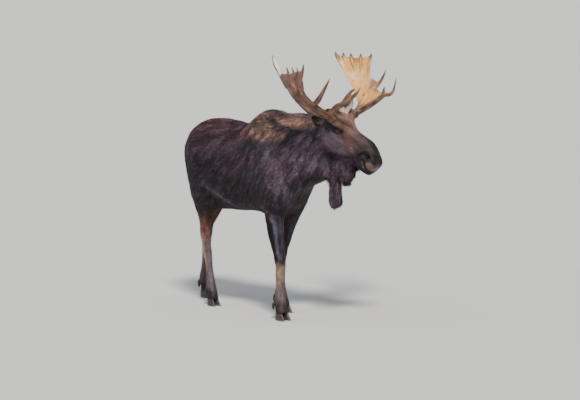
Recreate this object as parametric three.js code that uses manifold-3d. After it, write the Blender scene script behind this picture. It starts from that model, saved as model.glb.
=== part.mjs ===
// A bull moose at life size: standing, the near hind foot under the body, the head turned to its left.
// Millimetres, +Z up, +X the way the trunk points, +Y the animal's left. The hooves stand on Z = 0.
// It is built about a point under the middle of the body, then moved so that the box is centred.
// The flesh is one smooth field of distances, out to the tips of the coat. It is meshed region by
// region, and thin cuts part it into head, neck, trunk and legs. Antlers, ears, bell, tail and hooves
// are lofts of rings, and the eyes are spheres.
import * as THREE from 'three';
import { mergeVertices } from 'three/addons/utils/BufferGeometryUtils.js';
import Module from 'manifold-3d';

const wasm = await Module();
wasm.setup();

// ---- Driving dimensions -------------------------------------------------------------------------
const CUT_GAP = 0.3; // clear space at every cut between neighbours
const HUMP_TOP = 1805; // height of the hump, hair included
const LOIN_TOP = 1628; // height of the back behind the hump
const BELLY = 858; // height of the underline at the belly
const HALF_GIRTH = 292; // half the greatest width of the trunk
const HEAD_YAW = THREE.MathUtils.degToRad(17); // the head's turn to the left
const FACE_SLOPE = THREE.MathUtils.degToRad(38); // fall of the bridge of the nose
const EYE_LEVEL = new THREE.Vector3(978, 73, 1671); // middle of the head between the eyes
const EYE_RADIUS = 21;
const EYE_SPREAD = 95; // from the middle of the head to the middle of an eye
const BURR_HEIGHT = 127; // of the antler bases above the eyes
const KNEE_CUT = 440; // height of the cut through the knees
const HOCK_CUT = 505; // and through the hocks
const CORONET = 62; // height of the top of the hooves
const DEWCLAW_LEVEL = 128; // height of the dewclaws above the ground
const ROOM = 3 * CUT_GAP; // added all round a piece to make the hollow that it sits in
const EAR_ROOM = 2.5; // the same for the thin, twisted ears
const SLIVER = 0.05; // edges shorter than this are closed up
const TOUCH = 0.004; // corners nearer than this count as touching

// Side view of the trunk and neck: distance along the body, then the value there.
const TOP_LINE = [[-900, 1480], [-820, 1562], [-700, LOIN_TOP - 20], [-580, LOIN_TOP],
  [-400, LOIN_TOP + 4],
  [-240, LOIN_TOP - 10], [-120, 1640], [-10, 1722], [90, HUMP_TOP - 12], [175, HUMP_TOP],
  [300, HUMP_TOP - 28],
  [500, HUMP_TOP - 16], [700, HUMP_TOP - 12], [880, 1790]];
const UNDER_LINE = [[-900, 1150], [-780, 1030], [-640, 925], [-480, BELLY + 4], [-240, BELLY - 4],
  [0, BELLY + 20], [200, BELLY + 2], [320, BELLY + 30], [420, 985], [540, 1100], [700, 1175],
  [820, 1225], [900, 1300]];
const HALF_WIDTH = [[-900, 150], [-780, 208], [-600, 256], [-400, 282], [-180, HALF_GIRTH],
  [0, 288], [150, 268],
  [300, 245], [430, 215], [560, 188], [720, 172], [880, 150]];
const WIDEST_LEVEL = [[-900, 1320], [-600, 1240], [-200, 1170], [150, 1220], [420, 1320],
  [650, 1440], [880, 1520]];
const MIDDLE_LINE = [[300, 0], [600, 14], [780, 42], [900, 68]];
const BACK_FULLNESS = [[-900, 2], [-350, 2], [-150, 1.8], [60, 1.45], [300, 1.5], [600, 1.6], [880, 1.9]];
const BELLY_FULLNESS = 2.3;
const RUMP_START = -757; // from here the rump rounds off
const RUMP_DEPTH = 121;
const NECK_END = 770; // from here the neck rounds off into the throat
const NECK_DEPTH = 130;

// Head, along the face from the eyes toward the nose: upper line, lower line and half width.
const FACE_TOP = [[-230, 40], [-150, 72], [-70, 96], [20, 92], [110, 84], [190, 100], [280, 114], [345, 98],
  [395, 58], [432, 12], [456, -32]];
const FACE_BOTTOM = [[-230, -110], [-130, -196], [-20, -222], [100, -222], [200, -196],
  [290, -160], [365, -130],
  [420, -108], [452, -84]];
const FACE_WIDTH = [[-230, 92], [-120, 114], [-20, 117], [60, 104], [150, 84], [230, 76],
  [310, 78], [380, 88],
  [430, 86], [470, 72]];
const FACE_MIDDLE = [[-230, -10], [0, 0], [150, -40], [300, -56], [400, -50], [470, -56]];
const MUZZLE_END = 420;
const MUZZLE_DEPTH = 38;
const POLL_START = -190;
const POLL_DEPTH = 60;

// Legs, from the top down: height, front line, back line, half width, distance from the middle.
// The near side is the animal's right, and the far side its left.
const FORE_NEAR = [[1120, 505, 215, 100, -185], [1010, 497, 255, 96, -190], [930, 482, 296, 82, -196],
  [840, 478, 312, 70, -197], [740, 480, 322, 61, -192], [640, 482, 342, 52, -184],
  [560, 487, 366, 49, -176],
  [490, 497, 378, 52, -170], [430, 485, 382, 45, -168], [330, 475, 386, 36, -167],
  [230, 472, 382, 38, -166],
  [160, 484, 370, 50, -166], [105, 500, 392, 51, -168], [64, 520, 402, 56, -170],
  [40, 526, 402, 54, -170]];
const FORE_FAR = [[1120, 340, 80, 92, 180], [1010, 316, 115, 90, 178], [930, 296, 125, 80, 172],
  [840, 262, 108, 70, 165], [740, 222, 76, 60, 152], [640, 188, 56, 52, 138], [560, 168, 48, 49, 126],
  [490, 166, 46, 52, 118], [430, 154, 50, 45, 116], [330, 150, 60, 36, 114], [230, 150, 60, 38, 112],
  [160, 164, 50, 50, 112], [105, 184, 74, 51, 112], [64, 206, 90, 56, 112], [40, 212, 90, 54, 112]];
const HIND_NEAR = [[1260, -400, -770, 100, -150], [1130, -352, -742, 108, -168],
  [1030, -350, -726, 104, -180], [930, -398, -702, 88, -184], [830, -480, -664, 62, -176],
  [720, -526, -652, 43, -160], [640, -536, -668, 43, -148], [575, -532, -656, 45, -142],
  [500, -536, -634, 39, -138], [400, -536, -616, 33, -130], [300, -530, -608, 32, -124],
  [220, -526, -606, 36, -118], [160, -510, -608, 45, -115], [105, -500, -592, 44, -112],
  [64, -488, -592, 48, -110], [40, -484, -592, 46, -110]];
const HIND_FAR = [[1260, -480, -820, 100, 150], [1130, -520, -840, 108, 166],
  [1030, -572, -868, 104, 172],
  [930, -648, -900, 86, 172], [830, -738, -918, 62, 166], [720, -806, -934, 43, 156],
  [640, -864, -988, 43, 146],
  [575, -872, -994, 45, 142], [500, -884, -984, 39, 140], [400, -902, -984, 33, 140],
  [300, -914, -996, 32, 140], [220, -922, -1006, 36, 140], [160, -912, -1012, 45, 140],
  [105, -902, -994, 44, 140], [64, -888, -992, 48, 140], [40, -884, -992, 46, 140]];
// How far each leg is filleted into the body, and the muscles into the barrel.
const LEG_FILLET = 70;
const MUSCLE_FILLET = 110;

// Muscles over the barrel on each side: centre, half sizes and tilt, and how far forward the left one is.
const MUSCLES = {
  blade: { centre: [190, 165, 1345], far: -50, half: [160, 108, 330], tilt: 0.22 },
  arm: { centre: [355, 172, 1110], far: -125, half: [150, 100, 160], tilt: 0.3 },
  hip: { centre: [-600, 146, 1355], far: 0, half: [205, 118, 175], tilt: 0.1 },
  thigh: { centre: [-545, 168, 1160], far: -100, half: [178, 106, 240], tilt: 0.14 },
};

// Swellings of the head, in the face's own directions: along, out to the side, and up from the eyes.
const BROW = { centre: [-40, 84, 62], half: [62, 38, 34] };
const CHEEK = { centre: [20, 62, -120], half: [130, 44, 74] };
const NOSTRIL_WING = { centre: [412, 48, -14], half: [52, 36, 48] };
const LIP = { centre: [392, 30, -114], half: [70, 36, 30] };

// ---- Field of distances -------------------------------------------------------------------------
/** A smooth curve through keys of [place, value], flat beyond its ends. */
function curve(keys, column = 1) {
  const places = keys.map((key) => key[0]);
  const values = keys.map((key) => key[column]);
  const track = new THREE.CubicInterpolant(places, values, 1, new Float64Array(1));
  return (place) => track.evaluate(place)[0];
}

/** Joins two distances with a fillet of about the given size. */
function blend(a, b, size) {
  const reach = Math.max(size - Math.abs(a - b), 0) / size;
  return Math.min(a, b) - (reach * reach * size) / 4;
}

/** Distance to an ellipsoid of the given centre and half sizes, tilted about the Y axis. */
function ellipsoid(x, y, z, { centre, half, tilt = 0 }) {
  const along = (x - centre[0]) * Math.cos(tilt) + (z - centre[2]) * Math.sin(tilt);
  const up = (z - centre[2]) * Math.cos(tilt) - (x - centre[0]) * Math.sin(tilt);
  const reach = Math.hypot(along / half[0], (y - centre[1]) / half[1], up / half[2]);
  return (reach - 1) * Math.min(...half);
}

/** Distance to a rounded section: across and up are shares of its half sizes. */
function section(across, up, end, power, size) {
  const reach = (across ** power + up ** power + end ** power) ** (1 / power);
  return (reach - 1) * size;
}

const topLine = curve(TOP_LINE);
const underLine = curve(UNDER_LINE);
const halfWidth = curve(HALF_WIDTH);
const widestLevel = curve(WIDEST_LEVEL);
const middleLine = curve(MIDDLE_LINE);
const backFullness = curve(BACK_FULLNESS);

/** Distance to the trunk and neck without the limbs. */
function barrel(x, y, z) {
  const wide = widestLevel(x);
  const above = z > wide;
  const up = above ? (z - wide) / (topLine(x) - wide) : (wide - z) / (wide - underLine(x));
  const across = Math.abs(y - middleLine(x)) / halfWidth(x);
  const end = Math.max((RUMP_START - x) / RUMP_DEPTH, (x - NECK_END) / NECK_DEPTH, 0);
  return section(across, up, end, above ? backFullness(x) : BELLY_FULLNESS, halfWidth(x));
}

const faceTop = curve(FACE_TOP);
const faceBottom = curve(FACE_BOTTOM);
const faceWidth = curve(FACE_WIDTH);
const faceMiddle = curve(FACE_MIDDLE);
const headForward = new THREE.Vector3(Math.cos(HEAD_YAW), Math.sin(HEAD_YAW), 0);
const headLeft = new THREE.Vector3(-Math.sin(HEAD_YAW), Math.cos(HEAD_YAW), 0);

/** Place in the body's frame of a point forward of, left of and above the middle of the eyes. */
function onHead(forward, left, up) {
  return EYE_LEVEL.clone().addScaledVector(headForward, forward).addScaledVector(headLeft, left)
    .add(new THREE.Vector3(0, 0, up));
}

/** Distance to the head: a loft along the face, with brows, cheeks and nostril wings. */
function head(x, y, z) {
  const forward = (x - EYE_LEVEL.x) * headForward.x + (y - EYE_LEVEL.y) * headForward.y;
  const left = (x - EYE_LEVEL.x) * headLeft.x + (y - EYE_LEVEL.y) * headLeft.y;
  const rise = z - EYE_LEVEL.z;
  const along = forward * Math.cos(FACE_SLOPE) - rise * Math.sin(FACE_SLOPE);
  const up = forward * Math.sin(FACE_SLOPE) + rise * Math.cos(FACE_SLOPE);
  const middle = faceMiddle(along);
  const edge = up > middle ? faceTop(along) : faceBottom(along);
  const tall = (up - middle) / (edge - middle);
  const end = Math.max((along - MUZZLE_END) / MUZZLE_DEPTH, (POLL_START - along) / POLL_DEPTH, 0);
  const side = Math.abs(left);
  const skull = section(side / faceWidth(along), tall, end, 2.25, faceWidth(along));
  const swelling = (one) => ellipsoid(along, side, up, one);
  const [brow, wing, cheek, lip] = [BROW, NOSTRIL_WING, CHEEK, LIP].map(swelling);
  return blend(blend(skull, Math.min(brow, wing), 34), Math.min(cheek, lip), 40);
}

/** A leg whose sections lie level: its middle and half sizes at a height, and the distance to it. */
function makeLeg(keys) {
  const rising = keys.toReversed();
  const [front, back, sideHalf, offset] = [1, 2, 3, 4].map((column) => curve(rising, column));
  const centreAt = (z) => new THREE.Vector3((front(z) + back(z)) / 2, offset(z), z);
  const foreHalf = (z) => (front(z) - back(z)) / 2;
  const distance = (x, y, z) => {
    const [fore, across] = [foreHalf(z), sideHalf(z)];
    const reach = Math.hypot((x - back(z) - fore) / fore, (y - offset(z)) / across);
    return Math.max((reach - 1) * Math.min(fore, across), z - keys[0][0], keys.at(-1)[0] - z);
  };
  return { centreAt, foreHalf, sideHalf, distance };
}

const LEGS = {
  fore_right: makeLeg(FORE_NEAR),
  fore_left: makeLeg(FORE_FAR),
  hind_right: makeLeg(HIND_NEAR),
  hind_left: makeLeg(HIND_FAR),
};

/** Distance to the muscles that stand out from the barrel: shoulders, upper arms, hips and thighs. */
function muscles(x, y, z) {
  const [blade, arm, hip, thigh] = Object.values(MUSCLES).map(({ centre, far, half, tilt }) => {
    const fore = y < 0 ? centre[0] : centre[0] + far;
    return ellipsoid(x, Math.abs(y), z, { centre: [fore, centre[1], centre[2]], half, tilt });
  });
  return blend(Math.min(blade, arm), Math.min(hip, thigh), 60);
}

/** Distance to the whole of the flesh, the coat included. */
function flesh(x, y, z) {
  let body = blend(barrel(x, y, z), muscles(x, y, z), MUSCLE_FILLET);
  for (const leg of Object.values(LEGS)) body = blend(body, leg.distance(x, y, z), LEG_FILLET);
  return x > 600 ? blend(body, head(x, y, z), 80) : body;
}

// ---- Meshing ------------------------------------------------------------------------------------
/** Moves a point onto the surface of the field, by at most the given step. */
function settle(point, field, step) {
  const h = 2;
  const value = field(...point);
  const slope = [0, 1, 2].map((axis) => {
    const moved = [...point];
    moved[axis] += h;
    return (field(...moved) - value) / h;
  });
  const steep = Math.max(slope[0] ** 2 + slope[1] ** 2 + slope[2] ** 2, 0.01);
  const move = THREE.MathUtils.clamp(value / steep, -step, step);
  return point.map((place, axis) => place - move * slope[axis]);
}

/** A closed mesh of the field's surface inside a box, made of one quad for each crossed edge. */
function netSurface(field, low, high, cell) {
  const count = low.map((start, axis) => Math.ceil((high[axis] - start) / cell[axis]) + 1);
  const place = (i, j, k) => [low[0] + i * cell[0], low[1] + j * cell[1], low[2] + k * cell[2]];
  const index = (i, j, k) => (i * count[1] + j) * count[2] + k;
  const edge = (i, axis) => i === 0 || i === count[axis] - 1;
  const values = new Float64Array(count[0] * count[1] * count[2]);
  for (let i = 0; i < count[0]; i += 1) {
    for (let j = 0; j < count[1]; j += 1) {
      for (let k = 0; k < count[2]; k += 1) {
        const rim = edge(i, 0) || edge(j, 1) || edge(k, 2);
        values[index(i, j, k)] = rim ? 1 : field(...place(i, j, k));
      }
    }
  }
  const positions = [];
  const corner = new Map();
  const vertexOf = (i, j, k) => {
    const key = index(i, j, k);
    if (corner.has(key)) return corner.get(key);
    const sum = [0, 0, 0];
    let crossings = 0;
    for (let side = 0; side < 12; side += 1) {
      const axis = side >> 2;
      const start = [i, j, k];
      start[(axis + 1) % 3] += side & 1;
      start[(axis + 2) % 3] += (side >> 1) & 1;
      const finish = [...start];
      finish[axis] += 1;
      const a = values[index(...start)];
      const b = values[index(...finish)];
      if (a < 0 === b < 0) continue;
      const point = place(...start);
      point[axis] += (cell[axis] * a) / (a - b);
      for (const one of [0, 1, 2]) sum[one] += point[one];
      crossings += 1;
    }
    let point = sum.map((value) => value / crossings);
    const rim = [i, j, k].some((at, axis) => at === 0 || at === count[axis] - 2);
    if (!rim) point = settle(point, field, Math.min(...cell) * 0.25);
    corner.set(key, positions.length / 3);
    positions.push(...point);
    return corner.get(key);
  };
  const faces = [];
  for (let i = 1; i < count[0] - 1; i += 1) {
    for (let j = 1; j < count[1] - 1; j += 1) {
      for (let k = 1; k < count[2] - 1; k += 1) {
        for (let axis = 0; axis < 3; axis += 1) {
          const next = [i, j, k];
          next[axis] += 1;
          const here = values[index(i, j, k)] < 0;
          if (here === values[index(...next)] < 0) continue;
          const u = [0, 0, 0];
          const v = [0, 0, 0];
          u[(axis + 1) % 3] = 1;
          v[(axis + 2) % 3] = 1;
          const quad = [[0, 0], [1, 0], [1, 1], [0, 1]].map(([a, b]) =>
            vertexOf(i - a * u[0] - b * v[0], j - a * u[1] - b * v[1], k - a * u[2] - b * v[2]));
          if (!here) quad.reverse();
          faces.push(quad[0], quad[1], quad[2], quad[0], quad[2], quad[3]);
        }
      }
    }
  }
  // The samples on the low rim are outside, so edges that start there are crossed only by rim cells.
  for (let axis = 0; axis < 3; axis += 1) closeLowRim(axis, count, values, index, vertexOf, faces);
  const geometry = new THREE.BufferGeometry();
  geometry.setAttribute('position', new THREE.Float32BufferAttribute(positions, 3));
  geometry.setIndex(faces);
  return geometry;
}

/** Adds the quads of edges that run from the low rim of the grid to its first inner samples. */
function closeLowRim(axis, count, values, index, vertexOf, faces) {
  const [second, third] = [(axis + 1) % 3, (axis + 2) % 3];
  for (let j = 1; j < count[second] - 1; j += 1) {
    for (let k = 1; k < count[third] - 1; k += 1) {
      const at = [0, 0, 0];
      at[second] = j;
      at[third] = k;
      const next = [...at];
      next[axis] = 1;
      if (values[index(...next)] >= 0) continue;
      const quad = [[0, 1], [1, 1], [1, 0], [0, 0]].map(([a, b]) => {
        const place = [...at];
        place[second] -= a;
        place[third] -= b;
        return vertexOf(...place);
      });
      faces.push(quad[0], quad[1], quad[2], quad[0], quad[2], quad[3]);
    }
  }
}

/** A solid from a closed geometry, of which only the positions are kept. */
function solidOf(geometry) {
  const bare = geometry.clone();
  bare.deleteAttribute('normal');
  bare.deleteAttribute('uv');
  const merged = mergeVertices(bare, 1e-3);
  return new wasm.Manifold(new wasm.Mesh({
    numProp: 3,
    vertProperties: new Float32Array(merged.attributes.position.array),
    triVerts: new Uint32Array(merged.index.array),
    tolerance: SLIVER,
  }));
}

/** Draws apart corners that touch without being joined, each a little toward its own neighbours. */
function partTouching(positions, faces) {
  const place = (corner) => new THREE.Vector3().fromArray(positions, corner * 3);
  const corners = new Map();
  for (let at = 0; at < positions.length; at += 3) {
    const key = [0, 1, 2].map((axis) => Math.round(positions[at + axis] / TOUCH)).join();
    if (!corners.has(key)) corners.set(key, []);
    corners.get(key).push(at / 3);
  }
  for (const group of corners.values()) {
    if (group.length < 2) continue;
    for (const corner of group) {
      const own = place(corner);
      const pull = new THREE.Vector3();
      for (let face = 0; face < faces.length; face += 3) {
        const around = [faces[face], faces[face + 1], faces[face + 2]];
        if (!around.includes(corner)) continue;
        for (const other of around) pull.add(place(other)).sub(own);
      }
      own.add(pull.setLength(10 * TOUCH)).toArray(positions, corner * 3);
    }
  }
}

/** The geometry of the largest body of a solid, without the slivers that cuts and joins leave. */
function geometryOf(solid) {
  const [largest] = solid.decompose().sort((a, b) => b.volume() - a.volume());
  const mesh = largest.getMesh();
  partTouching(mesh.vertProperties, mesh.triVerts);
  const geometry = new THREE.BufferGeometry();
  geometry.setAttribute('position', new THREE.BufferAttribute(mesh.vertProperties, 3));
  geometry.setIndex(new THREE.BufferAttribute(mesh.triVerts, 1));
  return geometry;
}

/** A box solid between two corners, smaller all round by half the gap. */
function block(low, high, gap = CUT_GAP) {
  const size = low.map((value, axis) => high[axis] - value - gap);
  const geometry = new THREE.BoxGeometry(...size);
  geometry.translate(...low.map((value, axis) => (value + high[axis]) / 2));
  return solidOf(geometry);
}

/** The half of space in front of a plane, as a large box that starts at a distance from it. */
function halfSpace(point, normal, start) {
  const size = 5000;
  const geometry = new THREE.BoxGeometry(size, size, size);
  geometry.translate(0, 0, size / 2 + start);
  const upward = new THREE.Vector3(0, 0, 1);
  geometry.applyQuaternion(new THREE.Quaternion().setFromUnitVectors(upward, normal.clone().normalize()));
  geometry.translate(point.x, point.y, point.z);
  return solidOf(geometry);
}

/** Six times the volume that a triangle list encloses, negative where its faces point inward. */
function signedVolume(points, faces) {
  let sum = 0;
  for (let at = 0; at < faces.length; at += 3) {
    const [a, b, c] = [points[faces[at]], points[faces[at + 1]], points[faces[at + 2]]];
    sum += a.dot(b.clone().cross(c));
  }
  return sum;
}

/** The middle of a ring of points. */
function middleOf(points) {
  return points.reduce((sum, point) => sum.add(point), new THREE.Vector3()).divideScalar(points.length);
}

/** A closed loft through rings of points, with a point at the middle of each end, the ends moved by grow. */
function loft(rings, grow = 0) {
  const sides = rings[0].length;
  for (const [end, next] of [[rings[0], rings[1]], [rings.at(-1), rings.at(-2)]]) {
    const out = middleOf(end).sub(middleOf(next)).setLength(grow);
    for (const point of end) point.add(out);
  }
  const points = rings.flat();
  points.push(middleOf(rings[0]), middleOf(rings.at(-1)));
  const faces = [];
  for (let ring = 0; ring < rings.length - 1; ring += 1) {
    for (let side = 0; side < sides; side += 1) {
      const a = ring * sides + side;
      const b = ring * sides + ((side + 1) % sides);
      faces.push(a, b, b + sides, a, b + sides, a + sides);
    }
  }
  const last = (rings.length - 1) * sides;
  for (let side = 0; side < sides; side += 1) {
    const next = (side + 1) % sides;
    faces.push(points.length - 2, next, side, points.length - 1, last + side, last + next);
  }
  if (signedVolume(points, faces) < 0) faces.reverse();
  const geometry = new THREE.BufferGeometry().setFromPoints(points);
  geometry.setIndex(faces);
  return geometry;
}

/** A ring round a centre, with half sizes along two directions. */
function ring(centre, first, second, sides) {
  return Array.from({ length: sides }, (_, side) => {
    const angle = (side / sides) * Math.PI * 2;
    const [along, across] = [Math.cos(angle), Math.sin(angle)];
    return centre.clone().addScaledVector(first, along).addScaledVector(second, across);
  });
}

/** The ring where a level section of the field ends, found outward from a centre. */
function castRing(field, centre, reach, sides) {
  const points = [];
  for (let side = 0; side < sides; side += 1) {
    const angle = (side / sides) * Math.PI * 2;
    const ray = new THREE.Vector3(Math.cos(angle), Math.sin(angle), 0);
    let [inner, outer] = [0, reach];
    for (let step = 0; step < 16; step += 1) {
      const middle = (inner + outer) / 2;
      const point = centre.clone().addScaledVector(ray, middle);
      if (field(point.x, point.y, point.z) < 0) inner = middle;
      else outer = middle;
    }
    points.push(centre.clone().addScaledVector(ray, inner));
  }
  return points;
}

/** A round tapering rod along a smooth path of [point, radius] stops. */
function taper(stops, sides, rings, grow = 0) {
  const path = new THREE.CatmullRomCurve3(stops.map((stop) => stop[0]), false, 'centripetal');
  const keys = stops.map((stop, at) => [at / (stops.length - 1), stop[1]]);
  const radius = curve(keys);
  const frames = path.computeFrenetFrames(rings - 1, false);
  const loops = [];
  for (let at = 0; at < rings; at += 1) {
    const share = at / (rings - 1);
    const size = radius(share) + grow;
    loops.push(ring(path.getPoint(share), frames.normals[at].clone().multiplyScalar(size),
      frames.binormals[at].clone().multiplyScalar(size), sides));
  }
  return loft(loops, grow);
}

/** A bent blade through stops of rear edge, front edge, half thickness and cup, hollow where it faces. */
function blade(stops, facing, sides, grow = 0) {
  const loops = stops.map(([rear, front, thick, cup]) => {
    const middle = rear.clone().add(front).multiplyScalar(0.5);
    const half = front.clone().sub(middle);
    const away = facing.clone().projectOnPlane(half.clone().normalize()).normalize().negate();
    const stretch = 1 + grow / half.length();
    half.multiplyScalar(stretch);
    return Array.from({ length: sides }, (_, at) => {
      const angle = ((at + 0.5) / sides) * Math.PI * 2;
      const bow = cup * (1 - (Math.cos(angle) * stretch) ** 2);
      return middle.clone().addScaledVector(half, Math.cos(angle))
        .addScaledVector(away, (thick + grow) * Math.sin(angle) + bow);
    });
  });
  return loft(loops, grow);
}

// ---- The model ----------------------------------------------------------------------------------
const moose = new THREE.Group();

/** Adds a named mesh with its finish. */
function addPiece(name, geometry, finish) {
  const mesh = new THREE.Mesh(geometry, new THREE.MeshStandardMaterial(finish));
  mesh.name = name;
  moose.add(mesh);
}

const COAT = { color: 0x2a1d18, roughness: 0.85, metalness: 0 };
const ANTLER = { color: 0x7a5236, roughness: 0.6, metalness: 0 };
const HOOF = { color: 0x17120f, roughness: 0.5, metalness: 0 };
const EYE = { color: 0x0d0806, roughness: 0.08, metalness: 0 };
const SIDES = { right: -1, left: 1 };

// ---- Trunk, neck and head
const SHOULDER_CUT = {
  point: new THREE.Vector3(455, 0, 1400),
  normal: new THREE.Vector3(0.98, 0, 0.196),
};
const THROAT_CUT = { point: onHead(-150, 0, -90), normal: onHead(0.97, 0, 0.243).sub(EYE_LEVEL) };
/** All that lies ahead of a cut, and the same with the gap of the cut added. */
const ahead = ({ point, normal }) => halfSpace(point, normal, CUT_GAP / 2);
const aheadAndGap = ({ point, normal }) => halfSpace(point, normal, -CUT_GAP / 2);

// Each leg leaves the trunk in a box: its lowest and highest corner, and the height of its middle cut.
const LEG_BOXES = {
  fore_right: { low: [196, -420, -50], high: [620, -88, 1004], middle: KNEE_CUT },
  fore_left: { low: [-60, 85, -50], high: [480, 420, 1000], middle: KNEE_CUT },
  hind_right: { low: [-860, -420, -50], high: [-300, -55, 1020], middle: HOCK_CUT },
  hind_left: { low: [-1100, 55, -50], high: [-420, 420, 1020], middle: HOCK_CUT },
};

/** The trunk, with room for the legs, the neck and the tail cut away. */
function addTrunk() {
  let trunk = solidOf(netSurface(flesh, [-1020, -390, 740], [680, 390, 1890], [112, 88, 86]));
  for (const { low, high } of Object.values(LEG_BOXES)) trunk = trunk.subtract(block(low, high, 0));
  trunk = trunk.subtract(aheadAndGap(SHOULDER_CUT)).subtract(solidOf(tail(ROOM)));
  addPiece('trunk', geometryOf(trunk), COAT);
}

/** The neck, from the shoulder cut to the throat cut. */
function addNeck() {
  const field = solidOf(netSurface(flesh, [290, -330, 820], [1050, 330, 1890], [84, 72, 72]));
  const neck = field.intersect(ahead(SHOULDER_CUT)).subtract(aheadAndGap(THROAT_CUT));
  addPiece('neck', geometryOf(neck.subtract(solidOf(rope(ROOM)))), COAT);
}

/** The head, hollowed for the eyes, the antlers, the ears and the bell; and the eyes. */
function addHeadAndEyes() {
  let skull = solidOf(netSurface(flesh, [690, -150, 1220], [1420, 350, 1890], [43, 35.5, 39]));
  skull = skull.intersect(ahead(THROAT_CUT));
  for (const [name, side] of Object.entries(SIDES)) {
    const centre = onHead(8, side * EYE_SPREAD, 0);
    const socket = new THREE.SphereGeometry(EYE_RADIUS + 2 * CUT_GAP, 10, 7);
    socket.translate(centre.x, centre.y, centre.z);
    skull = skull.subtract(solidOf(socket));
    const ball = new THREE.SphereGeometry(EYE_RADIUS, 10, 7);
    ball.translate(centre.x, centre.y, centre.z);
    addPiece(`eye_${name}`, ball, EYE);
    skull = skull.subtract(solidOf(beamAndPalm(name, ROOM))).subtract(solidOf(ear(name, EAR_ROOM)));
  }
  skull = skull.subtract(solidOf(lobe(ROOM))).subtract(solidOf(rope(ROOM)));
  addPiece('head', geometryOf(skull), COAT);
}

// ---- Bell, ears and tail
// Level sections from the top down: forward and up from the eyes, half length and half width.
const LOBE = [[20, -200, 40, 34], [26, -255, 78, 48], [34, -305, 92, 54], [38, -355, 86, 52],
  [36, -395, 64, 40], [32, -432, 30, 20]];
const ROPE = [[-86, -220, 34, 26], [-88, -300, 48, 38], [-86, -390, 50, 42], [-82, -480, 52, 43],
  [-79, -560, 60, 48], [-77, -612, 60, 46], [-76, -638, 40, 30]];

/** A hanging part with level sections, turned with the head. */
function hanging(sections, sides, grow) {
  const rings = sections.map(([forward, up, fore, side]) => {
    const first = headForward.clone().multiplyScalar(fore + grow);
    const second = headLeft.clone().multiplyScalar(side + grow);
    return ring(onHead(forward, 0, up), first, second, sides);
  });
  return loft(rings, grow);
}

/** The rounded front half of the bell, under the jaw. */
const lobe = (grow) => hanging(LOBE, 12, grow);
/** The long rear half of the bell, a rope of hair that flares at its end. */
const rope = (grow) => hanging(ROPE, 10, grow);

// Ears, forward, out and up from between the eyes: the right is held out and back, the left pricked up.
const EARS = {
  right: { root: [-104, 78, 70], tip: [-136, 280, 126], facing: [0.8, 0.35, -0.25] },
  left: { root: [-118, 90, 66], tip: [-108, 318, 250], facing: [0.85, -0.45, 0.1] },
};

// The leaf of an ear: share of its length, half width, half thickness and cup.
const EAR_STOPS = [[0, 30, 20, 0], [0.16, 42, 17, 16], [0.4, 58, 8, 34], [0.62, 56, 6, 32],
  [0.82, 38, 5, 18],
  [0.95, 16, 4, 5], [1, 5, 3, 0]];

/** An ear: a long cupped leaf. */
function ear(name, grow) {
  const side = SIDES[name];
  const place = ([forward, out, up]) => onHead(forward, side * out, up);
  const root = place(EARS[name].root);
  const axis = place(EARS[name].tip).sub(root);
  const facing = place(EARS[name].facing).sub(EYE_LEVEL).normalize();
  const across = new THREE.Vector3().crossVectors(axis, facing).normalize().multiplyScalar(side);
  return blade(EAR_STOPS.map(([share, half, thick, cup]) => {
    const middle = root.clone().addScaledVector(axis, share);
    const reach = across.clone().multiplyScalar(half);
    return [middle.clone().sub(reach), middle.clone().add(reach), thick, cup];
  }), facing, 8, grow);
}

/** The short tail, lying on the rump. */
function tail(grow) {
  const points = [[-830, 1442], [-872, 1412], [-900, 1360], [-908, 1300]];
  const radii = [26, 32, 28, 9];
  return taper(points.map(([x, z], at) => [new THREE.Vector3(x, 0, z), radii[at]]), 8, 6, grow);
}

// ---- Antlers, placed from the middle of the crown between the burrs
/** A point forward of, out from and above the middle of the crown. */
function onCrown(side, forward, out, up) {
  return onHead(forward - 8, side * out, up + BURR_HEIGHT);
}

// Beam and palm: rear edge, front edge (forward, out, up), half thickness and cup.
const PALM = {
  right: [[[-32, 112, -44], [38, 112, -40], 36, 0], [[-44, 190, -20], [30, 190, 12], 36, 0],
    [[-70, 280, 6], [14, 284, 60], 34, 0], [[-112, 368, 40], [-6, 384, 120], 27, 8],
    [[-158, 418, 104], [-34, 450, 172], 19, 20], [[-210, 460, 180], [-54, 500, 235], 14, 32],
    [[-256, 478, 258], [-54, 520, 304], 12, 38], [[-304, 488, 330], [-66, 526, 362], 10, 36],
    [[-322, 492, 370], [-70, 526, 402], 6, 24]],
  left: [[[-30, 112, -40], [36, 112, -40], 33, 0], [[-38, 190, -6], [24, 190, 10], 30, 0],
    [[-50, 280, 10], [10, 284, 51], 28, 0], [[-84, 368, 46], [2, 384, 120], 24, 8],
    [[-138, 418, 99], [-22, 450, 171], 19, 20], [[-214, 460, 185], [-42, 500, 244], 14, 32],
    [[-290, 478, 279], [-50, 520, 323], 12, 38], [[-364, 488, 370], [-54, 526, 396], 10, 36],
    [[-378, 492, 410], [-58, 526, 424], 6, 24]],
};
// Webs of antler on the left, from the palm to its front tine and from there to the brow branch.
const WEBS = [
  [[[-60, 396, 118], [16, 402, 128], 14, 0], [[-52, 452, 188], [70, 424, 192], 10, 4],
    [[-44, 508, 262], [92, 431, 224], 5, 4]],
  [[[14, 290, 52], [66, 222, 32], 12, 0], [[14, 384, 118], [140, 240, 78], 10, 0],
    [[62, 418, 186], [246, 257, 156], 5, 0]],
];

/** Beam and palm of one antler in one loft, without tines. */
function beamAndPalm(name, grow = 0) {
  const side = SIDES[name];
  const place = (point) => onCrown(side, ...point);
  const stops = PALM[name].map(([rear, front, thick, cup]) => [place(rear), place(front), thick, cup]);
  return blade(stops, onHead(0.25, -side, 0.35).sub(EYE_LEVEL), 10, grow);
}

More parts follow.
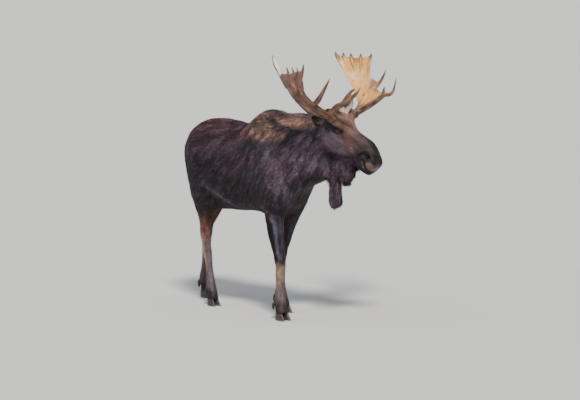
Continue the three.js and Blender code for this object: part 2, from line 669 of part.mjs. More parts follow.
/** One of the webs of the left antler. */
function web(sections, grow = 0) {
  const place = (point) => onCrown(SIDES.left, ...point);
  const stops = sections.map(([rear, front, thick, cup]) => [place(rear), place(front), thick, cup]);
  return blade(stops, onHead(0, -SIDES.left, 0).sub(EYE_LEVEL), 6, grow);
}

// Tines: which part carries them, then stops of forward, out, up and radius. The two antlers differ.
const TINES = {
  right: {
    palm: [[[-290, 490, 330, 24], [-322, 492, 404, 23], [-358, 491, 456, 19], [-390, 491, 524, 5]],
      [[-220, 500, 350, 13], [-225, 502, 394, 11], [-244, 500, 440, 4]],
      [[-156, 508, 350, 13], [-165, 508, 396, 11], [-192, 506, 443, 4]],
      [[-104, 514, 350, 13], [-111, 516, 394, 11], [-138, 514, 446, 4]],
      [[-80, 524, 340, 17], [-66, 527, 410, 13], [-48, 526, 486, 4]],
      [[-44, 398, 112, 20], [6, 404, 154, 23], [54, 412, 218, 17], [110, 424, 298, 10],
        [154, 436, 368, 4]]],
    brow: [[[2, 190, 22, 32], [74, 206, 90, 27], [159, 224, 130, 20], [264, 240, 200, 16],
      [307, 246, 238, 11], [339, 250, 279, 4]],
      [[143, 226, 128, 17], [212, 238, 210, 14], [258, 243, 248, 10], [290, 245, 262, 4]]],
  },
  left: {
    palm: [[[-330, 496, 350, 22], [-372, 492, 421, 16], [-395, 488, 463, 5]],
      [[-296, 504, 386, 15], [-312, 504, 426, 12], [-321, 504, 462, 4]],
      [[-230, 510, 386, 15], [-244, 515, 428, 12], [-250, 514, 457, 4]],
      [[-150, 518, 386, 15], [-152, 521, 430, 12], [-149, 520, 463, 4]],
      [[-66, 524, 380, 16], [-56, 528, 432, 12], [-46, 526, 466, 4]],
      [[-34, 400, 120, 20], [58, 417, 186, 17], [117, 436, 266, 12], [152, 452, 353, 4]]],
    brow: [[[12, 176, -14, 28], [48, 212, 18, 27], [119, 236, 61, 24], [201, 250, 119, 21],
      [250, 258, 155, 19], [303, 266, 162, 15], [335, 272, 200, 11], [360, 284, 322, 4]],
      [[236, 256, 150, 15], [246, 257, 190, 11], [255, 256, 231, 4]]],
  },
};

// The cuts at the main forks: a point and the way the cut faces, forward, out and up.
const PALM_CUT = [[-44, 346, 72], [-0.25, 0.8, 0.55]];
const BROW_CUT = {
  right: [[82, 208, 92], [0.75, 0.12, 0.65]],
  left: [[88, 226, 43], [0.8, 0.25, 0.54]],
};

/** One antler, split at its main forks into beam, palm and brow branch. */
function addAntler(name, side) {
  const rods = (part) => TINES[name][part].map((stops) => {
    const path = stops.map(([forward, out, up, radius]) => [onCrown(side, forward, out, up), radius]);
    return solidOf(taper(path, 5, 4));
  });
  const webs = (grow) => (name === 'left' ? WEBS.map((one) => solidOf(web(one, grow))) : []);
  const join = (solids) => solids.reduce((sum, solid) => sum.add(solid));
  const whole = join([solidOf(beamAndPalm(name)), ...webs(0), ...rods('palm')]);
  const brow = join(rods('brow'));
  const cut = ([point, normal]) => ({
    point: onCrown(side, ...point),
    normal: onHead(normal[0], side * normal[1], normal[2]).sub(EYE_LEVEL),
  });
  const [palmCut, browCut] = [cut(PALM_CUT), cut(BROW_CUT[name])];
  const base = whole.subtract(aheadAndGap(palmCut)).add(brow.subtract(aheadAndGap(browCut)));
  addPiece(`antler_${name}_beam`, geometryOf(base), ANTLER);
  addPiece(`antler_${name}_palm`, geometryOf(whole.intersect(ahead(palmCut))), ANTLER);
  const branch = webs(CUT_GAP).reduce((rest, one) => rest.subtract(one), brow.intersect(ahead(browCut)));
  addPiece(`antler_${name}_brow`, geometryOf(branch), ANTLER);
}

// ---- Legs and hooves
// Shares of the way up from the hooves to the knee or hock where the lower leg has a ring.
const LOWER_LEVELS = [0, 0.06, 0.15, 0.27, 0.42, 0.62, 0.84, 1];
const TOES = { inner: 1, outer: -1 };
// A hoof's size as shares of the ankle's half length and half width.
const HOOF_LENGTH = 2.16;
const HOOF_WIDTH = 0.94;
const HOOF_FORWARD = 0.24;
const HOOF_APART = 0.52;
const HOOF_LEAN = 0.34; // how far the wall leans back on its way up
const HOOF_TOP = 0.66; // length of its upper edge against its sole
const TOE_POINT = 0.42; // how much the toe narrows
const HEEL_FALL = 0.16; // how much lower the heel is than the toe

/** One leg: thigh or forearm, lower leg, two hooves and two dewclaws. */
function addLeg(name) {
  const { low, high, middle } = LEG_BOXES[name];
  const leg = LEGS[name];
  const out = Math.sign(low[1] + high[1]);
  const start = [low[0] - 30, low[1], middle - 90];
  const upper = solidOf(netSurface(flesh, start, [high[0] + 30, high[1], high[2] + 90], [47, 40, 88]));
  addPiece(`leg_${name}_upper`, geometryOf(upper.intersect(block([low[0], low[1], middle], high))), COAT);
  const rings = LOWER_LEVELS.map((share) => {
    const z = THREE.MathUtils.lerp(CORONET, middle - CUT_GAP, share);
    return castRing(leg.distance, leg.centreAt(z), 200, 12);
  });
  addPiece(`leg_${name}_lower`, loft(rings), COAT);
  for (const [toe, inward] of Object.entries(TOES)) {
    addPiece(`hoof_${name}_${toe}`, hoof(leg, -out * inward), HOOF);
    addPiece(`dewclaw_${name}_${toe}`, dewclaw(leg, -out * inward), HOOF);
  }
}

/** One toe's hoof: a flat pointed sole, a sloping wall and a rounded heel, splayed a little outward. */
function hoof(leg, side) {
  const ankle = leg.centreAt(CORONET);
  const [foreHalf, sideHalf] = [leg.foreHalf(CORONET), leg.sideHalf(CORONET)];
  const outline = (turn, level) => {
    const fore = Math.cos(turn);
    const halfLength = (foreHalf * HOOF_LENGTH * THREE.MathUtils.lerp(1, HOOF_TOP, level)) / 2;
    const x = foreHalf * (HOOF_FORWARD - level * HOOF_LEAN) + fore * halfLength;
    const narrow = (1 - TOE_POINT * Math.max(fore, 0) ** 1.6) * THREE.MathUtils.lerp(1, 0.9, level);
    const splay = side * (sideHalf * HOOF_APART + (fore + 1) * foreHalf * 0.05);
    const y = splay + (Math.sin(turn) * sideHalf * HOOF_WIDTH * narrow) / 2;
    const rise = level * (CORONET - CUT_GAP - 2) * (1 - HEEL_FALL * level * Math.max(-fore, 0));
    return new THREE.Vector3(ankle.x + x, ankle.y + y, rise);
  };
  const sides = 10;
  const turns = Array.from({ length: sides }, (_, at) => (at / sides) * Math.PI * 2);
  return loft([0, 0.45, 1].map((level) => turns.map((turn) => outline(turn, level))));
}

/** A small claw behind the pastern, above the heel of its toe. */
function dewclaw(leg, side) {
  const back = leg.foreHalf(DEWCLAW_LEVEL) + 4;
  const out = side * leg.sideHalf(DEWCLAW_LEVEL) * 0.55;
  const top = leg.centreAt(DEWCLAW_LEVEL).add(new THREE.Vector3(-back, out, 0));
  const tip = top.clone().add(new THREE.Vector3(-8, side * 5, -44));
  return taper([[top, 11], [top.clone().lerp(tip, 0.5), 12], [tip, 5]], 5, 3);
}

addTrunk();
addNeck();
addHeadAndEyes();
addPiece('bell_rope', rope(0), COAT);
addPiece('bell_lobe', geometryOf(solidOf(lobe(0)).subtract(solidOf(rope(ROOM)))), COAT);
addPiece('tail', tail(0), COAT);
for (const [name, side] of Object.entries(SIDES)) {
  addPiece(`ear_${name}`, ear(name, 0), COAT);
  addAntler(name, side);
}
for (const name of Object.keys(LEG_BOXES)) addLeg(name);

// The origin is the middle of the bottom of the whole animal's box.
const bounds = new THREE.Box3().setFromObject(moose, true);
const middle = bounds.getCenter(new THREE.Vector3());
moose.position.set(-middle.x, -middle.y, -bounds.min.z);

export default moose;
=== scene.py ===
"""A bull moose at life size: skin, coat, antlers, eyes and hooves over the fixed frame.

Lengths are in metres. Shapes are worked out in the body's own frame, whose origin lies under the
middle of the body, and moved into the row's frame when a mesh is made.
"""

import logging
import math
from dataclasses import dataclass, field
from enum import Enum
from typing import Callable, Sequence

import bmesh
import bpy
import numpy as np
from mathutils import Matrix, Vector
from mathutils.kdtree import KDTree


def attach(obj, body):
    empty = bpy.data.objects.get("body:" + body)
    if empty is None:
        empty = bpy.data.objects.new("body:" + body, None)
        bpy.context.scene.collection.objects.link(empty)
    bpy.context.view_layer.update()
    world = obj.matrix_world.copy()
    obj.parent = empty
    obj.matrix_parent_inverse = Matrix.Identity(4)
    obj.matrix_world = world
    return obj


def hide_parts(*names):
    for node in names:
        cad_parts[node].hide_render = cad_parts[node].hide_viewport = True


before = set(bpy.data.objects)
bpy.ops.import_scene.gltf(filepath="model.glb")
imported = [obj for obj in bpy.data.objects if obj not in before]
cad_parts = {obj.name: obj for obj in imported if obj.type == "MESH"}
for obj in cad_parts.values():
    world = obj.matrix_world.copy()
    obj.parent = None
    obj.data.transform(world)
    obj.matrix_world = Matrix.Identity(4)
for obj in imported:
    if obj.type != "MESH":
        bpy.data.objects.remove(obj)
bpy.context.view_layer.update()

Array = np.ndarray
Socket = bpy.types.NodeSocket
Object = bpy.types.Object
Material = bpy.types.Material
log = logging.getLogger("moose")
ORIGIN = np.array([0.1748986, 0.0229903, 0.0])
BAKE_MAP = "OFBake"
WIDEST_FACE = 0.06
SPECK = 0.003
COLOUR = "fur_colour"
LAY = "fur_lay"
UP = np.array([0.0, 0.0, 1.0])
SIDES = (-1, 1)
TOES = ("inner", "outer")


# ---- Numbers and noise --------------------------------------------------------------------------
def step(value: Array, low: float, high: float) -> Array:
    """Rises smoothly from 0 at low to 1 at high, or falls where high is the lesser."""
    share = np.clip((value - low) / (high - low), 0.0, 1.0)
    return share * share * (3 - 2 * share)


def unit(vectors: Array) -> Array:
    """The same vectors at length 1."""
    return vectors / np.maximum(np.linalg.norm(vectors, axis=-1, keepdims=True), 1e-9)


def mix(first: Array, second: Array, share: Array) -> Array:
    """A blend of two arrays of rows: the first where share is 0, the second where it is 1."""
    weight = np.asarray(share)[..., None]
    return np.asarray(first) * (1 - weight) + np.asarray(second) * weight


def lengths(rows: Array) -> Array:
    """The length of each row."""
    return np.linalg.norm(rows, axis=1)


def layered(base: Array, *layers: tuple[Array, Array]) -> Array:
    """Rows with others laid over them in turn.

    Args:
        base: the first rows.
        layers: what is laid over them, each with its share.

    Returns:
        The blended rows.
    """
    for layer, share in layers:
        base = mix(base, layer, share)
    return base


def shifted(value: Array, *layers: tuple[float | Array, Array]) -> Array:
    """Numbers drawn toward others in turn.

    Args:
        value: the first numbers.
        layers: what they are drawn toward, each with its share.

    Returns:
        The blended numbers.
    """
    for target, share in layers:
        value = value * (1 - share) + target * share
    return value


def bell_curve(value: Array, width: float) -> Array:
    """A smooth hill: 1 where the value is 0, falling away over a width."""
    return np.exp(-((value / width) ** 2))


def turns(count: int, start: float = 0.0) -> Array:
    """Angles evenly round a circle, the first of them a share of a gap along."""
    return (np.arange(count) + start) / count * math.tau


def noise(points: Array, seed: int = 0) -> Array:
    """Smooth random values at points, one cell of the noise for each unit of length.

    Args:
        points: places, three numbers each.
        seed: picks one of many patterns.

    Returns:
        Values from 0 to 1.
    """
    cell = np.floor(points).astype(np.int64)
    part = points - cell
    part = part * part * (3 - 2 * part)
    total = np.zeros(len(points))
    for corner in range(8):
        offset = np.array([corner & 1, (corner >> 1) & 1, corner >> 2])
        at = cell + offset
        code = at[:, 0] * 374761 + at[:, 1] * 668265 + at[:, 2] * 914489 + seed * 127413
        code = (code ^ (code >> 9)) * 1103515 & 0xFFFFFFF
        code = (code ^ (code >> 11)) * 12345 & 0xFFFFFF
        weight = np.prod(np.where(offset, part, 1 - part), axis=1)
        total += weight * code / 0xFFFFFF
    return total


def combed(points: Array, lay: Array, width: float, reach: float, seed: int) -> Array:
    """Noise drawn out into streaks along the lie of the hair.

    Args:
        points: places on the skin.
        lay: the way the hair lies there.
        width: the width of a streak.
        reach: half its length.
        seed: picks one of many patterns.

    Returns:
        Values from 0 to 1.
    """
    shifts = np.linspace(-reach, reach, 7)
    mean = sum(noise((points + lay * shift) / width, seed) for shift in shifts) / len(shifts)
    return np.clip(0.5 + (mean - 0.5) * 2.0, 0, 1)


def distance_to_path(points: Array, path: Array) -> tuple[Array, Array]:
    """Distance of points from a path of straight runs, and how far along it they are.

    Args:
        points: places with any number of coordinates.
        path: the corners of the path, with as many coordinates.

    Returns:
        The distances, and the share of the path's length at the nearest place.
    """
    best = np.full(len(points), 1e9)
    share = np.zeros(len(points))
    sizes = lengths(np.diff(path, axis=0))
    total = sizes.sum()
    walked = 0.0
    for start, end, length in zip(path[:-1], path[1:], sizes):
        run = end - start
        at = np.clip((points - start) @ run / max(length * length, 1e-12), 0, 1)
        gap = lengths(points - start - at[:, None] * run)
        nearer = gap < best
        best = np.where(nearer, gap, best)
        share = np.where(nearer, (walked + at * length) / max(total, 1e-9), share)
        walked += length
    return best, share


def smooth_curve(keys: Array, count: int) -> Array:
    """Evenly spaced places on a smooth curve through keys.

    Args:
        keys: rows of numbers that the curve passes through.
        count: how many places to return.

    Returns:
        One row of numbers for each place.
    """
    keys = np.asarray(keys, float)
    padded = np.vstack([2 * keys[0] - keys[1], keys, 2 * keys[-1] - keys[-2]])
    at = np.linspace(0, len(keys) - 1, count)
    index = np.minimum(at.astype(int), len(keys) - 2)
    t = (at - index)[:, None]
    a, b, c, d = (padded[index + k] for k in range(4))
    return 0.5 * (2 * b + (c - a) * t + (2 * a - 5 * b + 4 * c - d) * t**2 + (3 * b - a - 3 * c + d) * t**3)


# ---- Head's own directions ----------------------------------------------------------------------
@dataclass(frozen=True)
class HeadFrame:
    """The head's place: between the eyes, turned to the left, with the face falling forward."""

    eyes: tuple[float, float, float] = (0.978, 0.073, 1.671)
    yaw: float = math.radians(17)
    slope: float = math.radians(38)

    @property
    def forward(self) -> Array:
        """The level direction that the head points."""
        return np.array([math.cos(self.yaw), math.sin(self.yaw), 0.0])

    @property
    def left(self) -> Array:
        """The head's own left."""
        return np.array([-math.sin(self.yaw), math.cos(self.yaw), 0.0])

    @property
    def along(self) -> Array:
        """Down the bridge of the nose."""
        return self.forward * math.cos(self.slope) - UP * math.sin(self.slope)

    @property
    def up(self) -> Array:
        """Out of the bridge of the nose."""
        return self.forward * math.sin(self.slope) + UP * math.cos(self.slope)

    def place(self, forward: float, left: float, up: float) -> Array:
        """A place in the body's frame, from level distances off the middle of the eyes."""
        return np.array(self.eyes) + self.forward * forward + self.left * left + UP * up

    def face(self, points: Array) -> Array:
        """Along the face, left and out of the bridge of the nose, for places in the body's frame."""
        away = points - np.array(self.eyes)
        return np.stack([away @ self.along, away @ self.left, away @ self.up], axis=1)


HEAD = HeadFrame()


class Sided:
    """Something on one side of the head, placed forward of, out from and above a point of it."""

    side: int

    def spot(self, forward: float, out: float, up: float) -> Array:
        """A place in the body's frame, from level distances off the middle of the eyes."""
        return HEAD.place(forward, self.side * out, up)

    def direction(self, forward: float, out: float, up: float) -> Array:
        """A direction given forward, out and up."""
        return unit(HEAD.forward * forward + HEAD.left * self.side * out + UP * up)


# ---- Meshes -------------------------------------------------------------------------------------
@dataclass
class Shape:
    """A mesh as arrays: places in the body's frame and triangles."""

    points: Array
    faces: Array

    def crosses(self) -> Array:
        """The outward direction of each triangle, twice as long as its area."""
        corners = self.points[self.faces]
        return np.cross(corners[:, 1] - corners[:, 0], corners[:, 2] - corners[:, 0])

    def centres(self) -> Array:
        """The middle of each triangle."""
        return self.points[self.faces].mean(axis=1)

    def edges(self) -> Array:
        """The two ends of each triangle's edges, three edges to a triangle."""
        return np.sort(self.faces[:, [[0, 1], [1, 2], [2, 0]]].reshape(-1, 2), axis=1)

    def normals(self) -> Array:
        """The outward direction at each vertex, weighted by the area round it.

        Returns:
            One unit vector for each vertex.
        """
        cross = self.crosses()
        total = np.zeros_like(self.points)
        for corner in range(3):
            for axis in range(3):
                total[:, axis] += np.bincount(self.faces[:, corner], cross[:, axis], len(self.points))
        return unit(total)

    def areas(self) -> Array:
        """The area of each triangle."""
        return lengths(self.crosses()) / 2

    def relaxed(self, rounds: int, weight: Array | float) -> "Shape":
        """The shape with each vertex drawn toward its neighbours.

        Args:
            rounds: how many times.
            weight: the share of the way in each round, for all or for each vertex.

        Returns:
            A smoother shape.
        """
        pairs = np.unique(self.edges(), axis=0)
        ends = np.concatenate([pairs[:, 0], pairs[:, 1]])
        others = np.concatenate([pairs[:, 1], pairs[:, 0]])
        count = np.maximum(np.bincount(ends, minlength=len(self.points)), 1)[:, None]
        share = np.broadcast_to(np.asarray(weight, float), (len(self.points),))[:, None]
        points = self.points.copy()
        for _ in range(rounds):
            mean = np.stack([np.bincount(ends, points[others, axis], len(points)) for axis in range(3)], 1)
            points += share * (mean / count - points)
        return Shape(points, self.faces)

    def joined(self, *others: "Shape") -> "Shape":
        """This shape and others in one mesh, without welding.

        Args:
            others: the shapes that join it.

        Returns:
            The mesh of all of them.
        """
        points, faces, start = [self.points], [self.faces], len(self.points)
        for other in others:
            points.append(other.points)
            faces.append(other.faces + start)
            start += len(other.points)
        return Shape(np.vstack(points), np.vstack(faces))


def make_object(name: str, shape: Shape) -> Object:
    """Makes a Blender object from a shape in the body's frame.

    Args:
        name: the piece's name.
        shape: its places and triangles.

    Returns:
        The new object, linked to the scene.
    """
    mesh = bpy.data.meshes.new(name)
    mesh.vertices.add(len(shape.points))
    mesh.vertices.foreach_set("co", (shape.points - ORIGIN).astype(np.float32).ravel())
    mesh.loops.add(len(shape.faces) * 3)
    mesh.loops.foreach_set("vertex_index", shape.faces.astype(np.int32).ravel())
    mesh.polygons.add(len(shape.faces))
    mesh.polygons.foreach_set("loop_start", np.arange(0, len(shape.faces) * 3, 3, dtype=np.int32))
    mesh.polygons.foreach_set("use_smooth", np.full(len(shape.faces), True))
    mesh.update(calc_edges=True)
    piece = bpy.data.objects.new(name, mesh)
    bpy.context.scene.collection.objects.link(piece)
    return piece


def shape_of(mesh: bpy.types.Mesh) -> Shape:
    """The triangles of a Blender mesh, as a shape in the body's frame.

    Args:
        mesh: the mesh, in the row's frame.

    Returns:
        Its triangles.
    """
    mesh.calc_loop_triangles()
    points = np.zeros(len(mesh.vertices) * 3, np.float32)
    mesh.vertices.foreach_get("co", points)
    faces = np.zeros(len(mesh.loop_triangles) * 3, np.int32)
    mesh.loop_triangles.foreach_get("vertices", faces)
    return Shape(points.reshape(-1, 3).astype(float) + ORIGIN, faces.reshape(-1, 3).astype(np.int64))


def solid(name: str) -> Shape:
    """One of the frame's solids."""
    return shape_of(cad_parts[name].data)


def worked(pieces: list[Object]) -> Shape:
    """What the first piece's modifiers make of it.

    Args:
        pieces: the piece and those that its modifiers use, all of them removed.

    Returns:
        The shape made.
    """
    evaluated = pieces[0].evaluated_get(bpy.context.evaluated_depsgraph_get())
    result = shape_of(evaluated.to_mesh())
    evaluated.to_mesh_clear()
    for piece in pieces:
        mesh = piece.data
        bpy.data.objects.remove(piece)
        bpy.data.meshes.remove(mesh)
    return result


def remeshed(shape: Shape, voxel: float) -> Shape:
    """One closed skin round overlapping shapes.

    Args:
        shape: closed bodies that may overlap.
        voxel: the size of the new faces.

    Returns:
        The joined shape.
    """
    piece = make_object("remesh_work", shape)
    tool = piece.modifiers.new("remesh", "REMESH")
    tool.mode, tool.voxel_size = "VOXEL", voxel
    return worked([piece])


def united(shape: Shape, *others: Shape) -> Shape:
    """One closed skin that joins a shape with others that cut into it.

    Args:
        shape: a closed shape, whose vertices are kept away from the joins.
        others: closed shapes to join to it.

    Returns:
        The joined shape.
    """
    pieces = [make_object("union_work", each) for each in (shape, *others)]
    for other in pieces[1:]:
        tool = pieces[0].modifiers.new("union", "BOOLEAN")
        tool.operation, tool.object, tool.solver = "UNION", other, "MANIFOLD"
    return worked(pieces)


def refined(shape: Shape, chosen: Array) -> Shape:
    """Splits every edge of the chosen triangles, and fits their neighbours to them.

    Args:
        shape: the mesh to refine.
        chosen: for each triangle, whether it is split into four.

    Returns:
        The mesh with new vertices in the middles of the split edges.
    """
    faces = shape.faces
    unique, where = np.unique(shape.edges(), axis=0, return_inverse=True)
    where = where.reshape(-1, 3)
    split = np.zeros(len(unique), bool)
    split[where[chosen].ravel()] = True
    new_index = np.full(len(unique), -1)
    new_index[split] = len(shape.points) + np.arange(split.sum())
    points = np.vstack([shape.points, shape.points[unique[split]].mean(axis=1)])
    middle = new_index[where]
    count = (middle >= 0).sum(axis=1)
    result = [faces[count == 0]]

    def add(picked: Array, *corners: tuple[int, ...]) -> None:
        """Adds triangles for the picked faces: 0 to 2 are a face's corners, 3 to 5 its edges' middles."""
        ends = np.hstack([faces[picked], middle[picked]])
        result.extend(ends[:, corner] for corner in corners)

    for a, b, c in ((0, 1, 2), (1, 2, 0), (2, 0, 1)):
        add((count == 1) & (middle[:, a] >= 0), (a, a + 3, c), (a + 3, b, c))
        add((count == 2) & (middle[:, c] < 0), (a + 3, b, b + 3), (a, a + 3, b + 3), (a, b + 3, c))
    add(count == 3, (0, 3, 5), (1, 4, 3), (2, 5, 4), (3, 4, 5))
    return Shape(points, np.vstack(result))


def tube_faces(rings: int, sides: int) -> Array:
    """Triangles of a closed tube of rings, whose two end points follow the rings in the list.

    Args:
        rings: how many rings.
        sides: how many places in each.

    Returns:
        Three numbers of vertices for each triangle.
    """
    ring, side = np.meshgrid(np.arange(rings - 1), np.arange(sides), indexing="ij")
    a = (ring * sides + side).ravel()
    b = (ring * sides + (side + 1) % sides).ravel()
    around = np.arange(sides)
    following = (around + 1) % sides
    first, last = rings * sides, rings * sides + 1
    top = (rings - 1) * sides
    return np.vstack([
        np.stack([a, b, b + sides], 1), np.stack([a, b + sides, a + sides], 1),
        np.stack([np.full(sides, first), following, around], 1),
        np.stack([np.full(sides, last), top + around, top + following], 1)])


def lofted(rings: Array) -> Shape:
    """A closed loft through rings, facing out.

    Args:
        rings: places in order of ring, then side.

    Returns:
        The loft, with a point in the middle of each end.
    """
    count, sides = rings.shape[:2]
    points = np.vstack([rings.reshape(-1, 3), rings[0].mean(0), rings[-1].mean(0)])
    faces = tube_faces(count, sides)
    corners = points[faces]
    if np.einsum("ij,ij->i", corners[:, 0], np.cross(corners[:, 1], corners[:, 2])).sum() < 0:
        faces = faces[:, ::-1]
    return Shape(points, faces)


def rod(stops: Array, sides: int, rings: int) -> Shape:
    """A round tapering rod.

    Args:
        stops: rows of x, y, z and radius.
        sides: sides of its sections.
        rings: how many sections.

    Returns:
        The closed rod.
    """
    path = smooth_curve(stops, rings)
    run = unit(np.gradient(path[:, :3], axis=0))
    first = unit(np.cross(run, np.array([0.31, 0.84, 0.45])))
    second = np.cross(run, first)
    turn = turns(sides)
    around = first[:, None] * np.cos(turn)[None, :, None] + second[:, None] * np.sin(turn)[None, :, None]
    return lofted(path[:, None, :3] + around * np.maximum(path[:, 3], 0.001)[:, None, None])


def bent_blade(stops: Array, facing: Array, sides: int, rings: int) -> Shape:
    """A bent blade, hollow on the side that it faces.

    Args:
        stops: rows of rear edge, front edge, half thickness and cup.
        facing: the direction that the hollow side faces.
        sides: sides of its sections.
        rings: how many sections.

    Returns:
        The closed blade.
    """
    path = smooth_curve(stops, rings)
    rear, front, thick, cup = path[:, :3], path[:, 3:6], path[:, 6], path[:, 7]
    middle = (rear + front) / 2
    half = front - middle
    flat = unit(half)
    away = -unit(facing - flat * (flat @ facing)[:, None])
    turn = turns(sides, 0.5)
    lift = thick[:, None] * np.sin(turn) + cup[:, None] * np.sin(turn) ** 2
    wide = half[:, None] * np.cos(turn)[None, :, None]
    return lofted(middle[:, None] + wide + away[:, None] * lift[..., None])


# ---- Ears ---------------------------------------------------------------------------------------
@dataclass(frozen=True)
class Ear(Sided):
    """One ear: a long cupped leaf, with its root and its tip off the middle of the eyes."""

    side: int
    root: tuple[float, float, float]
    tip: tuple[float, float, float]
    facing: tuple[float, float, float]
    slimmer: float = 0.0025
    stops: Sequence[tuple[float, float, float, float]] = (
        (0.00, 0.030, 0.020, 0.000), (0.16, 0.042, 0.017, 0.016), (0.40, 0.058, 0.008, 0.034),
        (0.62, 0.056, 0.006, 0.032), (0.82, 0.038, 0.0055, 0.018), (0.95, 0.016, 0.005, 0.005),
        (1.00, 0.006, 0.004, 0.000))

    @property
    def start(self) -> Array:
        """The middle of the ear's root."""
        return self.spot(*self.root)

    @property
    def axis(self) -> Array:
        """From root to tip."""
        return self.spot(*self.tip) - self.start

    @property
    def across(self) -> Array:
        """From the rear edge to the front edge."""
        return unit(np.cross(self.axis, self.direction(*self.facing))) * self.side

    def build(self) -> Shape:
        """The leaf, a little slimmer than its solid by the coat's depth.

        Returns:
            The closed leaf.
        """
        rows = []
        for share, half, thick, cup in self.stops:
            middle = self.start + self.axis * share * 0.985
            reach = self.across * (half - self.slimmer)
            rows.append([*(middle - reach), *(middle + reach), max(thick - self.slimmer, 0.0028), cup])
        return bent_blade(np.array(rows), self.direction(*self.facing), 28, 44)

    def local(self, points: Array) -> tuple[Array, Array, Array]:
        """Places as a share of the length, a distance to the front edge's side, and off the axis behind.

        Args:
            points: places in the body's frame.

        Returns:
            The share, the distance across and the distance behind, for each place.
        """
        away = points - self.start
        along = unit(self.axis)
        facing = self.direction(*self.facing)
        behind = -unit(facing - self.across * (self.across @ facing))
        return away @ along / np.linalg.norm(self.axis), away @ self.across, away @ behind

    def share(self, points: Array) -> Array:
        """How much places belong to the ear, from 0 to 1.

        Args:
            points: places in the body's frame.

        Returns:
            One share for each place.
        """
        along, across, behind = self.local(points)
        near = step(np.abs(across), 0.080, 0.070) * step(behind, 0.070, 0.060)
        return near * step(behind, -0.045, -0.035) * step(along, 0.10, 0.26)


EARS = [Ear(-1, (-0.104, 0.078, 0.070), (-0.136, 0.280, 0.126), (0.80, 0.35, -0.25)),
        Ear(1, (-0.118, 0.090, 0.066), (-0.108, 0.318, 0.250), (0.85, -0.45, 0.10))]


# ---- Where things lie on the body ---------------------------------------------------------------
FLESH = ["trunk", "neck", "head", "bell_rope", "bell_lobe", "tail"]
LEGS = ["fore_right", "fore_left", "hind_right", "hind_left"]
HALF_LEG = 0.05
SHOULDER = 0.02
RUMP = -0.66
FLANK_TOP = 1.50
FLANK_FOOT = 1.02
FLESHY = FLESH + [f"leg_{leg}_{half}" for leg in LEGS for half in ("upper", "lower")]


@dataclass
class LegLine:
    """The course of one leg from top to foot, read from its solids."""

    name: str
    levels: Array = field(init=False)
    table: Array = field(init=False)

    def __post_init__(self) -> None:
        """Reads the leg's extent at levels up to its top."""
        parts = [solid(f"leg_{self.name}_{half}") for half in ("upper", "lower")]
        corners = np.vstack([part.points[part.faces] for part in parts])
        low, high = corners[..., 2].min(), corners[..., 2].max()
        self.levels = np.linspace(low + 0.01, high - 0.03, 40)
        rows = []
        for level in self.levels:
            cut = self.section(corners, level)
            rows.append([cut[:, 0].min(), cut[:, 0].max(), cut[:, 1].min(), cut[:, 1].max()])
        self.table = np.array(rows)

    @staticmethod
    def section(corners: Array, level: float) -> Array:
        """The places where triangle edges cross a level.

        Args:
            corners: triangles.
            level: the height of the section.

        Returns:
            Places on the section's outline.
        """
        found = []
        for a, b in ((0, 1), (1, 2), (2, 0)):
            first, second = corners[:, a], corners[:, b]
            crossed = (first[:, 2] < level) != (second[:, 2] < level)
            share = (level - first[crossed, 2]) / (second[crossed, 2] - first[crossed, 2])
            found.append(first[crossed] + share[:, None] * (second[crossed] - first[crossed]))
        return np.vstack(found)

    def extent(self, level: Array | float) -> list[Array]:
        """Where the back, front, right and left of the leg are at a height."""
        return [np.interp(level, self.levels, self.table[:, k]) for k in range(4)]

    def relative(self, points: Array) -> tuple[Array, Array]:
        """How far forward and how far left places are in the leg, in shares of its half sizes.

        Args:
            points: places in the body's frame.

        Returns:
            Shares from -1 at the back to 1 at the front, and from -1 on the right to 1 on the left.
        """
        back, front, right, left = self.extent(points[:, 2])
        fore = (points[:, 0] - (front + back) / 2) / np.maximum((front - back) / 2, 0.01)
        side = (points[:, 1] - (left + right) / 2) / np.maximum((left - right) / 2, 0.01)
        return fore, side

    def membership(self, points: Array) -> Array:
        """How much places belong to the leg, from 0 to 1.

        Args:
            points: places in the body's frame.

        Returns:
            One share for each place.
        """
        fore, side = self.relative(points)
        top = self.levels[-1]
        near = step(np.hypot(fore, side), 1.75, 1.25)
        return near * step(points[:, 2], top, top - 0.14)


class Body:
    """Soft borders of the regions of the body, for the coat's lie, length, depth and colour."""

    def __init__(self) -> None:
        """Reads the courses of the legs."""
        self.legs = {name: LegLine(name) for name in LEGS}

    def head(self, points: Array) -> Array:
        """Share of the head, ahead of the throat."""
        normal = HEAD.forward * 0.97 + UP * 0.243
        return step((points - HEAD.place(-0.15, 0, -0.09)) @ normal, -0.05, 0.05) * (1 - self.bell(points))

    def neck(self, points: Array) -> Array:
        """Share of the neck, between shoulder and throat."""
        ahead = (points - np.array([0.455, 0, 1.4])) @ np.array([0.98, 0, 0.196])
        return step(ahead, -0.10, 0.10) * (1 - self.head(points)) * (1 - self.bell(points))

    def bell(self, points: Array) -> Array:
        """Share of the hanging bell under the jaw.

        Args:
            points: places in the body's frame.

        Returns:
            One share for each place.
        """
        away = points - np.array(HEAD.eyes)
        forward, left, up = away @ HEAD.forward, away @ HEAD.left, away[:, 2]
        lobe = step(forward, -0.06, -0.02) * step(forward, 0.16, 0.12) * step(up, -0.21, -0.26)
        rope = step(np.hypot((forward + 0.085) / 0.07, left / 0.07), 1.4, 1.0) * step(up, -0.27, -0.40)
        return np.maximum(lobe, rope)

    def leg(self, points: Array) -> Array:
        """Share of any of the legs."""
        return np.max([leg.membership(points) for leg in self.legs.values()], axis=0)

    def ear(self, points: Array) -> Array:
        """Share of either ear."""
        return np.max([ear.share(points) for ear in EARS], axis=0)


